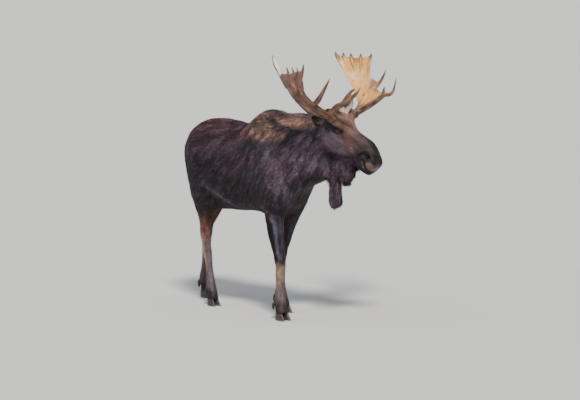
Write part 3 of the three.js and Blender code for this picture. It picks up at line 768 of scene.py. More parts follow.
@dataclass(frozen=True)
class Groove:
    """A ridge or a furrow along a path, in two coordinates."""

    path: Sequence[tuple[float, float]]
    width: float
    height: float

    def profile(self, place: Array, ends: float, margin: float) -> Array:
        """How high the ridge stands at places, lower toward the ends of its path.

        Args:
            place: two coordinates for each place.
            ends: its share of the height at the ends of the path.
            margin: the share of the path at each end where it gets no lower.

        Returns:
            Distances, below 0 for a furrow.
        """
        gap, share = distance_to_path(place, np.array(self.path))
        fade = ends + (1 - ends) * np.sin(np.clip(share, margin, 1 - margin) * math.pi)
        return self.height * bell_curve(gap, self.width) * fade


@dataclass(frozen=True)
class Stroke(Groove):
    """A ridge or a furrow on the sides of the body, whose far side may lie further forward."""

    far: float = 0.0

    def lift(self, points: Array, normals: Array) -> Array:
        """How far the stroke moves each vertex outward.

        Args:
            points: places in the body's frame.
            normals: outward directions there.

        Returns:
            Distances, below 0 for a furrow.
        """
        shift = np.where(points[:, 1] < 0, 0.0, self.far)
        place = points[:, [0, 2]] - np.stack([shift, np.zeros(len(shift))], 1)
        return self.profile(place, 0.35, 0.02) * step(np.abs(normals[:, 1]), 0.15, 0.5)


@dataclass(frozen=True)
class LegStroke(Groove):
    """A ridge or furrow on every fore or hind leg, placed by shares of the leg's depth and height."""

    limb: str = "fore"

    def lift(self, points: Array, normals: Array, body: Body) -> Array:
        """How far the stroke moves each vertex outward.

        Args:
            points: places in the body's frame.
            normals: outward directions there.
            body: the courses of the legs.

        Returns:
            Distances, below 0 for a furrow.
        """
        total = np.zeros(len(points))
        for name, leg in body.legs.items():
            if not name.startswith(self.limb):
                continue
            fore, side = leg.relative(points)
            member = step(np.hypot(fore, side), 1.9, 1.5)
            place = np.stack([fore * HALF_LEG, points[:, 2]], 1)
            path = np.array([(share * HALF_LEG, level) for share, level in self.path])
            ridge = self.height * bell_curve(distance_to_path(place, path)[0], self.width)
            total += ridge * member * step(np.abs(normals[:, 1]), 0.1, 0.5)
        return total


@dataclass(frozen=True)
class FaceStroke(Groove):
    """A ridge or furrow on each side of the face: along it, and out of the bridge of the nose."""

    def lift(self, face: Array, facing: Array) -> Array:
        """How far the stroke moves each vertex of the face outward, by how much each faces aside."""
        return self.profile(face[:, [0, 2]], 0.4, 0.03) * facing


BODY_STROKES = [
    Stroke([(0.2, 1.5), (0.213, 1.37), (0.214, 1.27), (0.2, 1.13)], 0.02, -0.011),
    Stroke([(0.262, 1.47), (0.285, 1.36), (0.29, 1.24), (0.27, 1.1)], 0.045, 0.007),
    Stroke([(0.345, 1.49), (0.362, 1.41), (0.375, 1.33)], 0.016, -0.007, -0.03),
    Stroke([(0.12, 1.47), (0.13, 1.34), (0.125, 1.2)], 0.018, -0.005),
    Stroke([(0.5, 1.53), (0.6, 1.45), (0.645, 1.35), (0.62, 1.22), (0.55, 1.1)], 0.02, -0.012, -0.05),
    Stroke([(0.45, 1.5), (0.54, 1.4), (0.57, 1.27), (0.51, 1.12)], 0.036, 0.009, -0.05),
    Stroke([(0.7, 1.46), (0.73, 1.37), (0.745, 1.29)], 0.016, -0.008),
    Stroke([(0.66, 1.58), (0.68, 1.5), (0.69, 1.43)], 0.015, -0.004),
    Stroke([(0.8, 1.54), (0.815, 1.44), (0.805, 1.34)], 0.017, -0.005),
    Stroke([(0.26, 1.7), (0.4, 1.655), (0.53, 1.632), (0.69, 1.64), (0.81, 1.675),
        (0.92, 1.74)], 0.026, -0.014),
    Stroke([(0.33, 1.735), (0.45, 1.7), (0.57, 1.688), (0.69, 1.696), (0.8, 1.73)], 0.026, 0.013),
    Stroke([(0.14, 1.575), (0.25, 1.61), (0.36, 1.6), (0.44, 1.56)], 0.032, 0.01, -0.03),
    Stroke([(0.25, 1.58), (0.3, 1.42), (0.345, 1.28), (0.375, 1.16)], 0.045, 0.009, -0.06),
    Stroke([(0.29, 1.08), (0.36, 1.02)], 0.055, 0.012, -0.15),
    Stroke([(0.22, 1.035), (0.3, 0.965), (0.4, 0.95)], 0.02, -0.011, -0.18),
    Stroke([(-0.48, 1.12), (-0.425, 1.104), (-0.368, 1.086), (-0.284, 1.041), (-0.21, 0.995),
        (-0.146, 0.951), (-0.08, 0.905)], 0.024, 0.017, -0.03),
    Stroke([(-0.42, 1.19), (-0.31, 1.14), (-0.21, 1.08), (-0.11, 1.0)], 0.04, -0.011, -0.03),
    Stroke([(-0.47, 1.06), (-0.4, 1.01), (-0.35, 0.955)], 0.03, -0.014, -0.06),
    Stroke([(-0.73, 1.38), (-0.71, 1.2), (-0.67, 1.02), (-0.64, 0.9)], 0.024, -0.008, -0.1),
    Stroke([(-0.6, 1.34), (-0.58, 1.2), (-0.52, 1.08)], 0.05, 0.008, -0.08),
    Stroke([(-0.3, 1.42), (-0.31, 1.26), (-0.28, 1.14)], 0.02, -0.003),
    Stroke([(-0.22, 1.46), (-0.23, 1.28), (-0.2, 1.1)], 0.02, -0.003),
    Stroke([(-0.14, 1.48), (-0.14, 1.3), (-0.11, 1.06)], 0.02, -0.003),
    Stroke([(-0.05, 1.5), (-0.05, 1.3), (-0.03, 1.04)], 0.02, -0.003),
    Stroke([(0.04, 1.5), (0.045, 1.3), (0.05, 1.04)], 0.02, -0.003),
]

LEG_STROKES = [
    LegStroke([(0.75, 0.98), (0.72, 0.84), (0.66, 0.7), (0.6, 0.58)], 0.013, 0.006),
    LegStroke([(0.15, 0.96), (0.1, 0.82), (0.1, 0.68), (0.2, 0.56)], 0.011, -0.006),
    LegStroke([(-0.45, 0.9), (-0.35, 0.76), (-0.2, 0.62)], 0.014, 0.005),
    LegStroke([(-0.18, 0.4), (-0.15, 0.28), (-0.15, 0.19)], 0.009, -0.006),
    LegStroke([(0.35, 0.4), (0.35, 0.28), (0.35, 0.19)], 0.012, 0.003),
    LegStroke([(-0.62, 0.38), (-0.6, 0.26), (-0.6, 0.19)], 0.01, 0.003),
    LegStroke([(-0.45, 0.88), (-0.4, 0.76), (-0.35, 0.66)], 0.013, -0.008, "hind"),
    LegStroke([(0.35, 0.9), (0.3, 0.78), (0.2, 0.68)], 0.02, 0.006, "hind"),
    LegStroke([(0.1, 0.61), (0.05, 0.55)], 0.016, 0.005, "hind"),
    LegStroke([(-0.1, 0.48), (-0.1, 0.34), (-0.1, 0.21)], 0.009, -0.006, "hind"),
    LegStroke([(0.45, 0.46), (0.45, 0.34), (0.45, 0.21)], 0.012, 0.003, "hind"),
]

FACE_STROKES = [
    FaceStroke([(-0.075, 0.06), (-0.02, 0.062), (0.035, 0.048)], 0.015, 0.007),
    FaceStroke([(0.04, 0.034), (0.056, 0.022)], 0.014, -0.007),
    FaceStroke([(0.03, -0.006), (0.07, -0.02), (0.11, -0.034)], 0.008, -0.004),
    FaceStroke([(-0.04, -0.052), (0.04, -0.062), (0.13, -0.054), (0.2, -0.034)], 0.018, 0.006),
    FaceStroke([(0.0, -0.13), (0.03, -0.155)], 0.062, 0.007),
    FaceStroke([(0.125, -0.205), (0.098, -0.14), (0.12, -0.08)], 0.016, -0.008),
    FaceStroke([(0.06, 0.05), (0.17, 0.04), (0.26, 0.045)], 0.016, 0.004),
    FaceStroke([(0.13, 0.0), (0.22, -0.004)], 0.022, -0.005),
    FaceStroke([(-0.14, -0.06), (-0.11, -0.14), (-0.06, -0.205)], 0.024, -0.007),
    FaceStroke([(0.268, -0.008), (0.29, 0.036), (0.325, 0.058), (0.37, 0.056)], 0.012, 0.008),
    FaceStroke([(0.284, -0.066), (0.282, -0.03), (0.3, -0.002), (0.33, 0.01)], 0.008, -0.01),
    FaceStroke([(0.325, 0.01), (0.352, 0.013), (0.374, 0.018)], 0.013, -0.026),
    FaceStroke([(0.305, -0.052), (0.318, -0.03), (0.345, -0.018)], 0.012, 0.006),
    FaceStroke([(0.4, -0.02), (0.43, -0.035)], 0.028, 0.005),
    FaceStroke([(0.35, -0.032), (0.387, -0.058), (0.421, -0.078), (0.444, -0.1)], 0.006, -0.008),
    FaceStroke([(0.262, -0.122), (0.313, -0.117), (0.349, -0.108), (0.39, -0.104),
        (0.43, -0.112)], 0.006, -0.01),
    FaceStroke([(0.262, -0.14), (0.33, -0.136), (0.39, -0.126)], 0.01, 0.004),
    FaceStroke([(0.3, -0.098), (0.35, -0.09), (0.395, -0.088)], 0.01, 0.004),
]


# ---- Eyes and lids ------------------------------------------------------------------------------
@dataclass(frozen=True)
class EyePlace(Sided):
    """One eye's place and directions."""

    side: int
    radius: float = 0.021
    spread: float = 0.095
    ahead: float = 0.008

    @property
    def centre(self) -> Array:
        """The middle of the eyeball in the body's frame."""
        return self.spot(self.ahead, self.spread, 0.0)

    @property
    def outward(self) -> Array:
        """The way the eye looks: out and a little forward."""
        return self.direction(0.34, 0.93, 0.02)

    @property
    def corner_line(self) -> Array:
        """From the rear corner of the lids to the front corner, dipping forward."""
        line = HEAD.forward * 0.94 - UP * 0.30
        return unit(line - self.outward * (line @ self.outward))

    @property
    def rise_line(self) -> Array:
        """Up across the corner line."""
        rise = np.cross(self.outward, self.corner_line)
        return rise if rise[2] > 0 else -rise

    def local(self, points: Array) -> tuple[Array, Array, Array]:
        """Places along the corner line, up across it, and outward, from the middle of the eyeball."""
        away = points - self.centre
        return away @ self.corner_line, away @ self.rise_line, away @ self.outward


EYES = [EyePlace(side) for side in SIDES]


@dataclass
class Lids:
    """Eyelids moulded in the skin over an eyeball."""

    thickness: float = 0.0030
    half_length: float = 0.0185
    upper: float = 0.0085
    lower: float = 0.0075
    reach: float = 0.036
    snap: float = 0.0009

    def mould(self, points: Array, eye: EyePlace) -> Array:
        """Moves the skin round an eye into lids and opens it between them.

        Args:
            points: the skin's vertices.
            eye: the eye they cover.

        Returns:
            The moved vertices.
        """
        across, rise, out = eye.local(points)
        reach = np.hypot(across, rise)
        near = (reach < self.reach) & (out > -0.01)
        share = np.clip(1 - (across / self.half_length) ** 2, 0, 1)
        opening = np.where(rise > 0, self.upper, self.lower) * share
        beyond = np.abs(rise) - opening
        edge = near & (share > 0.12) & (np.abs(beyond) < self.snap)
        slide = np.where(edge, -np.sign(rise) * beyond, 0.0)
        beyond = np.where(edge, 0.0, beyond)
        beyond = np.where(share > 0, beyond, np.maximum(beyond, reach - self.half_length))
        shell = eye.radius + self.thickness
        lid = np.sqrt(np.maximum(shell**2 - np.minimum(reach, shell * 0.97) ** 2, 0))
        lid = np.maximum(lid - 0.0045 * step(reach, 0.017, 0.026), 0.0125)
        crease = 0.0025 * bell_curve(beyond - 0.0105, 0.0028) * (rise > 0)
        socket = np.sqrt((eye.radius - 0.004) ** 2 - np.minimum(reach, 0.0165) ** 2) - 0.002
        blend = step(reach, self.reach, 0.021)
        wanted = np.where(beyond < 0, socket, lid - crease)
        moved = out + (wanted - out) * np.where(beyond < 0, 1.0, blend)
        change = np.where(near, moved - out, 0.0)
        return points + change[:, None] * eye.outward + slide[:, None] * eye.rise_line


# ---- Skin ---------------------------------------------------------------------------------------
@dataclass
class Skin:
    """One skin over all the flesh, smoothed, moulded and set in by the depth of the coat."""

    body: Body
    voxel: float = 0.0115
    swell: float = 0.0012
    plug: float = 0.030
    ankle: float = 0.12
    shape: Shape = field(init=False)

    def gather(self) -> Shape:
        """The solids of flesh, each a little swollen so that they overlap.

        Returns:
            All the solids in one mesh.
        """
        parts = []
        for name in [*FLESHY, "eye_right", "eye_left"]:
            part = solid(name)
            weld = np.unique(np.round(part.points, 6), axis=0, return_inverse=True)
            part = Shape(weld[0], weld[1].reshape(-1)[part.faces])
            parts.append(Shape(part.points + part.normals() * self.swell, part.faces))
        for side in SIDES:
            parts.append(rod(np.array([[*HEAD.place(-0.010, side * 0.070, 0.066), 0.046],
                                       [*HEAD.place(-0.008, side * 0.118, 0.084), 0.043],
                                       [*HEAD.place(-0.006, side * 0.152, 0.100), 0.040],
                                       [*HEAD.place(-0.006, side * 0.166, 0.107), 0.030]]), 16, 12))
            parts.append(self.ball(HEAD.place(-0.105, side * 0.080, 0.062), self.plug))
        for limb in LEGS:
            parts += self.pads(limb)
        return parts[0].joined(*parts[1:])

    def pads(self, limb: str) -> list[Shape]:
        """Flesh that runs down into the hooves and out to the dewclaws of one leg.

        Args:
            limb: the leg's name.

        Returns:
            Closed rods that overlap the foot.
        """
        leg = self.body.legs[limb]
        back, front, right, left = leg.extent(self.ankle)
        ankle = np.array([(back + front) / 2, (right + left) / 2, self.ankle])
        made = []
        for toe in TOES:
            wall = solid(f"hoof_{limb}_{toe}").points
            top = wall[wall[:, 2] > 0.045].mean(axis=0)
            for shift in (-0.014, 0.010):
                stops = [[*ankle, 0.026], [*(ankle * 0.35 + top * 0.65 + [shift * 0.7, 0, 0.012]), 0.024],
                         [top[0] + shift, top[1], 0.044, 0.019], [top[0] + shift, top[1], 0.030, 0.012]]
                made.append(rod(np.array(stops), 12, 10))
            claw = solid(f"dewclaw_{limb}_{toe}").points
            knob = claw[claw[:, 2].argsort()[-3:]].mean(axis=0)
            stops = [[*(ankle + [0, 0, 0.010]), 0.020], [*(knob + [0.006, 0, 0.002]), 0.0165],
                     [*(knob + [0.0, 0, -0.012]), 0.0125]]
            made.append(rod(np.array(stops), 12, 10))
        return made

    @staticmethod
    def ball(centre: Array, radius: float) -> Shape:
        """A ball that fills a hollow of the head.

        Args:
            centre: the middle of the ball.
            radius: its radius.

        Returns:
            The closed ball.
        """
        turn = np.linspace(0.05, math.pi - 0.05, 9)
        rings = [[(math.sin(t) * math.cos(p), math.sin(t) * math.sin(p), math.cos(t))
                  for p in turns(14)] for t in turn]
        return lofted(centre + radius * np.array(rings))

    def softness(self, points: Array) -> Array:
        """How much each place is smoothed: most on the trunk, least on legs and face.

        Args:
            points: places in the body's frame.

        Returns:
            One share for each place.
        """
        lower = step(points[:, 2], 0.80, 0.66)
        shin = 0.010 + 0.035 * step(points[:, 2], 0.14, 0.26)
        return shifted(np.full(len(points), 0.5), (0.09, self.body.leg(points)), (shin, lower),
                       (0.10, self.body.head(points)), (0.035, self.body.bell(points)))

    def depth(self, points: Array) -> Array:
        """The coat's depth, by which the skin lies inside the solids.

        Args:
            points: places in the body's frame.

        Returns:
            One depth for each place.
        """
        depth = np.full(len(points), 0.011)
        hump = step(points[:, 2], 1.60, 1.74) * step(points[:, 0], -0.15, 0.10)
        depth += 0.008 * hump
        head = self.body.head(points)
        shin = 0.0005 + 0.0025 * step(points[:, 2], 0.14, 0.26)
        muzzle = head * step(HEAD.face(points)[:, 0], 0.22, 0.30)
        return shifted(depth, (0.015, self.body.neck(points)), (0.007, self.body.leg(points)),
                       (shin, step(points[:, 2], 0.85, 0.55)), (0.005, head), (0.0012, muzzle),
                       (0.011, self.body.bell(points)))

    def build(self) -> None:
        """Makes the skin: join, smooth, refine, set in, mould."""
        base = remeshed(self.gather(), self.voxel)
        base = base.relaxed(36, self.softness(base.points))
        face = HEAD.face(base.centres())
        head = (self.body.head(base.centres()) > 0.4) & (face[:, 2] < 0.2)
        base = refined(base, head).relaxed(3, 0.35)
        face = HEAD.face(base.centres())
        muzzle = (face[:, 0] > 0.26) & (np.abs(face[:, 1]) > 0.02) & (np.abs(face[:, 2] + 0.045) < 0.100)
        base = refined(base, self.near_eyes(base, 0.050) | muzzle).relaxed(3, 0.35)
        base = refined(base, self.near_eyes(base, 0.034)).relaxed(2, 0.3)
        inset = Shape(base.points - base.normals() * self.depth(base.points)[:, None], base.faces)
        whole = united(self.mould(inset), *(ear.build() for ear in EARS))
        roots = np.min([lengths(whole.points - ear.start) for ear in EARS], axis=0)
        self.shape = whole.relaxed(8, 0.45 * step(roots, 0.085, 0.045))

    @staticmethod
    def near_eyes(shape: Shape, reach: float) -> Array:
        """Whether each triangle is within reach of the middle of an eye."""
        return np.min([lengths(shape.centres() - eye.centre) for eye in EYES], axis=0) < reach

    def mould(self, shape: Shape) -> Shape:
        """Works muscles, folds, nostrils, mouth and lids into the skin.

        Args:
            shape: the smooth skin.

        Returns:
            The moulded skin.
        """
        points, normals = shape.points, shape.normals()
        body = 1 - self.body.head(points)
        lift = np.zeros(len(points))
        for stroke in BODY_STROKES:
            lift += stroke.lift(points, normals) * body
        for stroke in LEG_STROKES:
            lift += stroke.lift(points, normals, self.body)
        face = HEAD.face(points)
        facing = step(np.abs(normals @ HEAD.left), 0.15, 0.55) * (1 - body)
        for stroke in FACE_STROKES:
            lift += stroke.lift(face, facing)
        lift += (noise(points / 0.09, 3) - 0.5) * 0.006 * body
        points = points + normals * lift[:, None]
        for eye in EYES:
            points = Lids().mould(points, eye)
        return Shape(points, shape.faces)


# ---- Markings -----------------------------------------------------------------------------------
def tint(red: float, green: float, blue: float) -> Array:
    """A named colour from display values, as the linear values that materials use."""
    return np.array([red, green, blue]) ** 2.2


BLACK_BROWN = tint(0.092, 0.062, 0.082)
NIGHT = tint(0.066, 0.042, 0.066)
PLUM = tint(0.18, 0.135, 0.165)
HEATHER = tint(0.256, 0.215, 0.262)
GRIZZLE = tint(0.49, 0.385, 0.335)
OLIVE = tint(0.345, 0.275, 0.235)
RUST = tint(0.3, 0.185, 0.165)
MAROON = tint(0.19, 0.1, 0.11)
# Bluish grey laid into the coat as painted sheen: the light that glossy dark hair throws back.
SLATE_SHEEN = tint(0.35, 0.33, 0.4)
WARM_BROWN = tint(0.36, 0.25, 0.205)
OCHRE = tint(0.6, 0.5, 0.42)
GREY_BROWN = tint(0.36, 0.315, 0.335)
PASTERN = tint(0.17, 0.13, 0.14)
FACE_TAN = tint(0.5, 0.385, 0.345)
FACE_RUSSET = tint(0.42, 0.29, 0.235)
FACE_GREY = tint(0.36, 0.29, 0.31)
NOSE_GREY = tint(0.29, 0.232, 0.24)
CHEEK_GREY = tint(0.37, 0.31, 0.35)
MUZZLE = tint(0.118, 0.08, 0.084)
BEIGE = tint(0.54, 0.435, 0.4)
PALE = tint(0.72, 0.62, 0.57)
# The lower lid's pale rim, painted bluish as a highlight along it.
LID_RIM_GLINT = tint(0.56, 0.53, 0.64)
EAR_PALE = tint(0.78, 0.72, 0.66)
BELL_BROWN = tint(0.2, 0.16, 0.195)
PITCH = tint(0.035, 0.026, 0.032)


@dataclass(frozen=True)
class Patch:
    """A soft oval of colour on the sides of the body or face, in a side view."""

    centre: tuple[float, float]
    half: tuple[float, float]
    colour: Array
    strength: float

    def share(self, across: Array, rise: Array) -> Array:
        """How much of the patch's colour each place has."""
        reach = np.hypot((across - self.centre[0]) / self.half[0], (rise - self.centre[1]) / self.half[1])
        return self.strength * step(reach, 1.25, 0.55)


@dataclass(frozen=True)
class Band:
    """A soft line of colour on the sides of the body or face, in a side view."""

    path: Sequence[tuple[float, float]]
    width: float
    colour: Array
    strength: float

    def share(self, across: Array, rise: Array) -> Array:
        """How much of the band's colour each place has."""
        gap, _ = distance_to_path(np.stack([across, rise], 1), np.array(self.path))
        return self.strength * bell_curve(gap, self.width)


BODY_MARKS = [
    Patch((-0.52, 1.585), (0.42, 0.085), RUST, 0.45), Patch((-0.15, 1.58), (0.35, 0.06), PLUM, 0.7),
    Patch((0.02, 1.36), (0.36, 0.2), PLUM, 0.7), Patch((-0.5, 1.45), (0.3, 0.13), PLUM, 0.6),
    Patch((-0.82, 1.47), (0.16, 0.13), MAROON, 0.75), Patch((0.04, 1.58), (0.15, 0.06), RUST, 0.5),
    Patch((0.2, 1.71), (0.26, 0.12), OLIVE, 0.62), Patch((0.31, 1.595), (0.2, 0.055), GRIZZLE, 0.42),
    Patch((0.57, 1.745), (0.27, 0.07), GRIZZLE, 0.84), Patch((0.47, 1.38), (0.16, 0.24), HEATHER, 0.14),
    Patch((0.42, 1.33), (0.08, 0.16), MAROON, 0.5), Patch((0.52, 1.52), (0.13, 0.05), MAROON, 0.4),
    Patch((0.76, 1.47), (0.24, 0.2), HEATHER, 0.68), Patch((0.62, 1.22), (0.12, 0.12), PLUM, 0.55),
    # The second patch below is painted sheen over the shoulder.
    Patch((-0.1, 0.95), (0.5, 0.13), BLACK_BROWN, 0.8), Patch((0.36, 1.34), (0.22, 0.22), SLATE_SHEEN, 0.08),
    # Painted sheen: bluish highlight streaks down the shoulder and the side of the neck.
    Band([(0.38, 1.45), (0.45, 1.27), (0.51, 1.13), (0.56, 0.98)], 0.046, SLATE_SHEEN, 0.15),
    Band([(0.6, 1.48), (0.63, 1.36), (0.61, 1.24), (0.57, 1.12)], 0.014, SLATE_SHEEN, 0.26),
    Band([(0.69, 1.45), (0.72, 1.36)], 0.012, SLATE_SHEEN, 0.22),
    # Painted sheen: bluish highlights along the ridge of the flank fold and below it.
    Band([(-0.44, 1.112), (-0.368, 1.092), (-0.284, 1.049), (-0.21, 1.003),
        (-0.12, 0.945)], 0.024, SLATE_SHEEN, 0.3), Patch((-0.41, 1.105), (0.055, 0.03), SLATE_SHEEN, 0.34),
    Band([(-0.24, 1.01), (-0.14, 0.965), (-0.04, 0.925)], 0.03, SLATE_SHEEN, 0.2),
    # Painted shade: near black in the crease below the flank fold.
    Band([(-0.46, 1.062), (-0.38, 1.03), (-0.3, 0.975)], 0.02, PITCH, 0.75),
    # A near black band along the crease below the crest: partly dark hair, partly the antler's painted
    # shadow.
    Band([(0.27, 1.69), (0.4, 1.648), (0.53, 1.628), (0.69, 1.636), (0.81, 1.668),
        (0.92, 1.73)], 0.026, NIGHT, 0.95), Band([(0.33, 0.975), (0.4, 0.955)], 0.03, RUST, 0.45),
    # Darker low on the flank and behind the elbow: partly the underside's darker hair, partly painted shade.
    Patch((-0.55, 1.2), (0.36, 0.14), NIGHT, 0.6), Patch((-0.02, 1.1), (0.34, 0.11), NIGHT, 0.55),
]

FACE_MARKS = [
    Patch((0.03, -0.095), (0.18, 0.095), CHEEK_GREY, 0.8), Patch((-0.1, -0.01), (0.07, 0.07), PLUM, 0.8),
    Patch((-0.03, 0.064), (0.07, 0.036), FACE_TAN, 0.95), Patch((0.05, 0.08), (0.12, 0.046), FACE_TAN, 0.95),
    Patch((0.125, 0.052), (0.045, 0.045), FACE_GREY, 0.7),
    Patch((0.215, 0.05), (0.085, 0.07), NOSE_GREY, 0.9), Patch((0.205, -0.02), (0.06, 0.045), NOSE_GREY, 0.6),
    Band([(0.01, 0.058), (0.04, 0.046), (0.066, 0.03)], 0.02, RUST, 0.5),
    Band([(0.055, 0.036), (0.095, 0.018), (0.145, -0.008)], 0.03, FACE_RUSSET, 0.62),
    Patch((0.2, -0.048), (0.035, 0.022), FACE_TAN, 0.4), Patch((0.191, -0.029), (0.006, 0.006), BEIGE, 0.8),
    Patch((0.37, 0.015), (0.13, 0.11), MUZZLE, 0.92), Patch((0.345, 0.06), (0.05, 0.022), OLIVE, 0.25),
    Patch((0.42, -0.034), (0.044, 0.036), BEIGE, 0.52), Patch((-0.03, 0.05), (0.045, 0.024), OCHRE, 0.4),
    Patch((0.0, -0.004), (0.042, 0.03), BLACK_BROWN, 0.95), Patch((0.044, 0.022), (0.02, 0.024), PITCH, 0.85),
    Band([(-0.04, -0.044), (0.02, -0.038), (0.055, -0.014)], 0.008, FACE_GREY, 0.55),
    # Painted shade: near black in the groove behind the nostril and inside the nostril itself.
    Band([(0.284, -0.066), (0.282, -0.03), (0.3, -0.002), (0.33, 0.01), (0.37, 0.02)], 0.009, PITCH, 0.75),
    Patch((0.352, 0.013), (0.027, 0.017), PITCH, 1.0),
    # Painted highlight: a paler line along the nostril's raised rim.
    Band([(0.268, -0.008), (0.29, 0.036), (0.325, 0.058)], 0.009, FACE_GREY, 0.25),
    # Painted shade: near black in the slit at the edge of the upper lip.
    Band([(0.352, -0.034), (0.389, -0.06), (0.423, -0.08), (0.446, -0.102)], 0.005, PITCH, 0.95),
    Band([(0.338, -0.052), (0.368, -0.072), (0.398, -0.09)], 0.0026, PALE, 0.34),
    # Painted shade: near black along the line of the mouth.
    Band([(0.262, -0.122), (0.313, -0.117), (0.349, -0.108), (0.39, -0.104),
        (0.43, -0.112)], 0.006, PITCH, 0.9),
    Band([(0.3, -0.104), (0.34, -0.098), (0.37, -0.092)], 0.0035, BEIGE, 0.25),
    Patch((0.455, -0.05), (0.012, 0.02), PALE, 0.35),
]


@dataclass
class Markings:
    """The colours of the coat, which skin and tufts share."""

    body: Body

    def colour(self, points: Array, normals: Array) -> Array:
        """The coat's colour at places on the skin, with painted sheen and painted shade laid in.

        Args:
            points: places in the body's frame.
            normals: outward directions there.

        Returns:
            One linear colour for each place.
        """
        colour = np.broadcast_to(mix(BLACK_BROWN, PLUM, 0.30), points.shape)
        streak = 0.82 + 0.36 * noise(points / [0.030, 0.030, 0.07], 21)
        for mark in BODY_MARKS:
            colour = mix(colour, mark.colour, np.clip(mark.share(points[:, 0], points[:, 2]) * streak, 0, 1))
        ridge = step(np.abs(points[:, 1]), 0.085, 0.035) * step(points[:, 2], 1.66, 1.74)
        colour = mix(colour, mix(BLACK_BROWN, PLUM, 0.6), 0.85 * ridge)
        for name, leg in self.body.legs.items():
            member = leg.membership(points) * step(points[:, 2], 1.02, 0.90)
            colour = mix(colour, self.leg_colour(name, leg, points), member)
        colour = layered(colour, (BELL_BROWN, self.body.bell(points) * 0.75),
                         (self.face_colour(points), self.body.head(points)))
        for ear in EARS:
            colour = mix(colour, self.ear_colour(ear, points, normals), ear.share(points))
        return colour

    @staticmethod
    def ear_colour(ear: Ear, points: Array, normals: Array) -> Array:
        """The colour of one ear: pale inside, brown outside, dark at the rim; the right ear's inside is
        painted dark as shade under the antler.

        Args:
            ear: the ear.
            points: places in the body's frame.
            normals: outward directions there.

        Returns:
            One colour for each place.
        """
        along, across, _ = ear.local(points)
        inside = step(normals @ ear.direction(*ear.facing), -0.05, 0.35)
        half = np.interp(along, [stop[0] for stop in ear.stops], [stop[1] for stop in ear.stops])
        rim = step(np.abs(across) / half, 0.80, 0.96) * step(along, 0.15, 0.3)
        wisp = step(noise(points / [0.007, 0.007, 0.022], 27), 0.55, 0.75)
        # Painted shade: the right ear's inside keeps only a little pale, as it lies in the antler's shadow.
        pale = 0.9 if ear.side > 0 else 0.03 + 0.22 * wisp
        edge = np.maximum(rim, step(along, 0.86, 0.97))
        return layered(mix(BLACK_BROWN, GREY_BROWN, 0.30), (EAR_PALE, inside * pale),
                       (GREY_BROWN, inside * step(along, 0.40, 0.12) * 0.4), (BLACK_BROWN, edge * 0.9))

    def leg_colour(self, name: str, leg: LegLine, points: Array) -> Array:
        """The colour of one leg from thigh or forearm to pastern.

        Args:
            name: the leg's name.
            leg: its course.
            points: places in the body's frame.

        Returns:
            One colour for each place.
        """
        fore, side = leg.relative(points)
        rise = points[:, 2] + 0.05 * (noise(points / 0.025, 23) - 0.5)
        streak = 0.45 + 1.1 * noise(points / [0.012, 0.012, 0.09], 24)
        outward = -side if name.endswith("right") else side
        if name.startswith("fore"):
            # Painted sheen: a bluish highlight along the front ridge of the forearm.
            ridge = bell_curve(fore - 0.66, 0.20) * step(outward, -0.9, 0.0) * step(rise, 0.50, 0.60)
            grey = step(rise + 0.09 * step(fore, 0.5, -0.6), 0.40, 0.25)
            layers = [(SLATE_SHEEN, np.clip(0.75 * ridge * streak, 0, 1)),
                      (WARM_BROWN, 0.12 * step(outward, 0.0, -0.8) * step(rise, 0.56, 0.70)),
                      (OCHRE, step(rise, 0.530, 0.440) * (0.66 + 0.16 * step(fore, 0.9, -0.4))),
                      (GREY_BROWN, grey * 0.9), (PASTERN, grey * 0.75 * step(fore, -0.15, -0.75))]
        else:
            shin = step(rise + 0.12 * step(fore, 0.5, -0.2), 0.50, 0.36)
            layers = [(WARM_BROWN, step(rise, 0.90, 0.72) * 0.85),
                      (WARM_BROWN, 0.45 * step(outward, 0.1, -0.7) * step(rise, 1.02, 0.88)),
                      (OCHRE, step(rise, 0.68, 0.60) * step(fore, 0.75, -0.35) * 0.95),
                      (GREY_BROWN, step(rise, 0.66, 0.56) * step(fore, -0.1, 0.6) * 0.9),
                      (GREY_BROWN, shin * 0.9),
                      (BLACK_BROWN, 0.45 * shin * step(fore, 0.15, -0.45) * step(outward, -0.6, 0.3))]
        # Painted sheen: a bluish highlight down the front ridge of the cannon.
        slate_sheen = 0.35 * step(rise, 0.42, 0.30) * bell_curve(fore - 0.45, 0.28) * streak
        return layered(BLACK_BROWN, *layers, (SLATE_SHEEN, slate_sheen), (PASTERN, step(rise, 0.22, 0.11)))

    def face_colour(self, points: Array) -> Array:
        """The colour of the head and its bare muzzle, with painted shade in the openings and painted
        highlights on the rims.

        Args:
            points: places in the body's frame.

        Returns:
            One colour for each place.
        """
        face = HEAD.face(points)
        marks = [(mark.colour, mark.share(face[:, 0], face[:, 2])) for mark in FACE_MARKS]
        top = step(face[:, 2], 0.055, 0.080) * step(face[:, 0], 0.15, 0.08) * step(face[:, 0], -0.12, -0.06)
        colour = layered(mix(BLACK_BROWN, PLUM, 0.7), *marks, (FACE_TAN, 0.9 * top))
        for eye in EYES:
            across, rise, out = eye.local(points)
            near = (out > -0.01) & (np.hypot(across, rise) < 0.04)
            # Painted highlight: a bluish pale line along the lower lid's rim, partly its own pale skin.
            rim = bell_curve(rise + 0.0102 - 18 * across**2, 0.0020) * step(np.abs(across), 0.019, 0.010)
            # Painted shade: black on the skin of the socket inside the lids.
            inside = step(np.hypot(across / 0.0175, rise / 0.0075), 1.15, 0.9)
            colour = layered(colour, (LID_RIM_GLINT, 0.80 * rim * near), (PITCH, inside * near))
        return colour


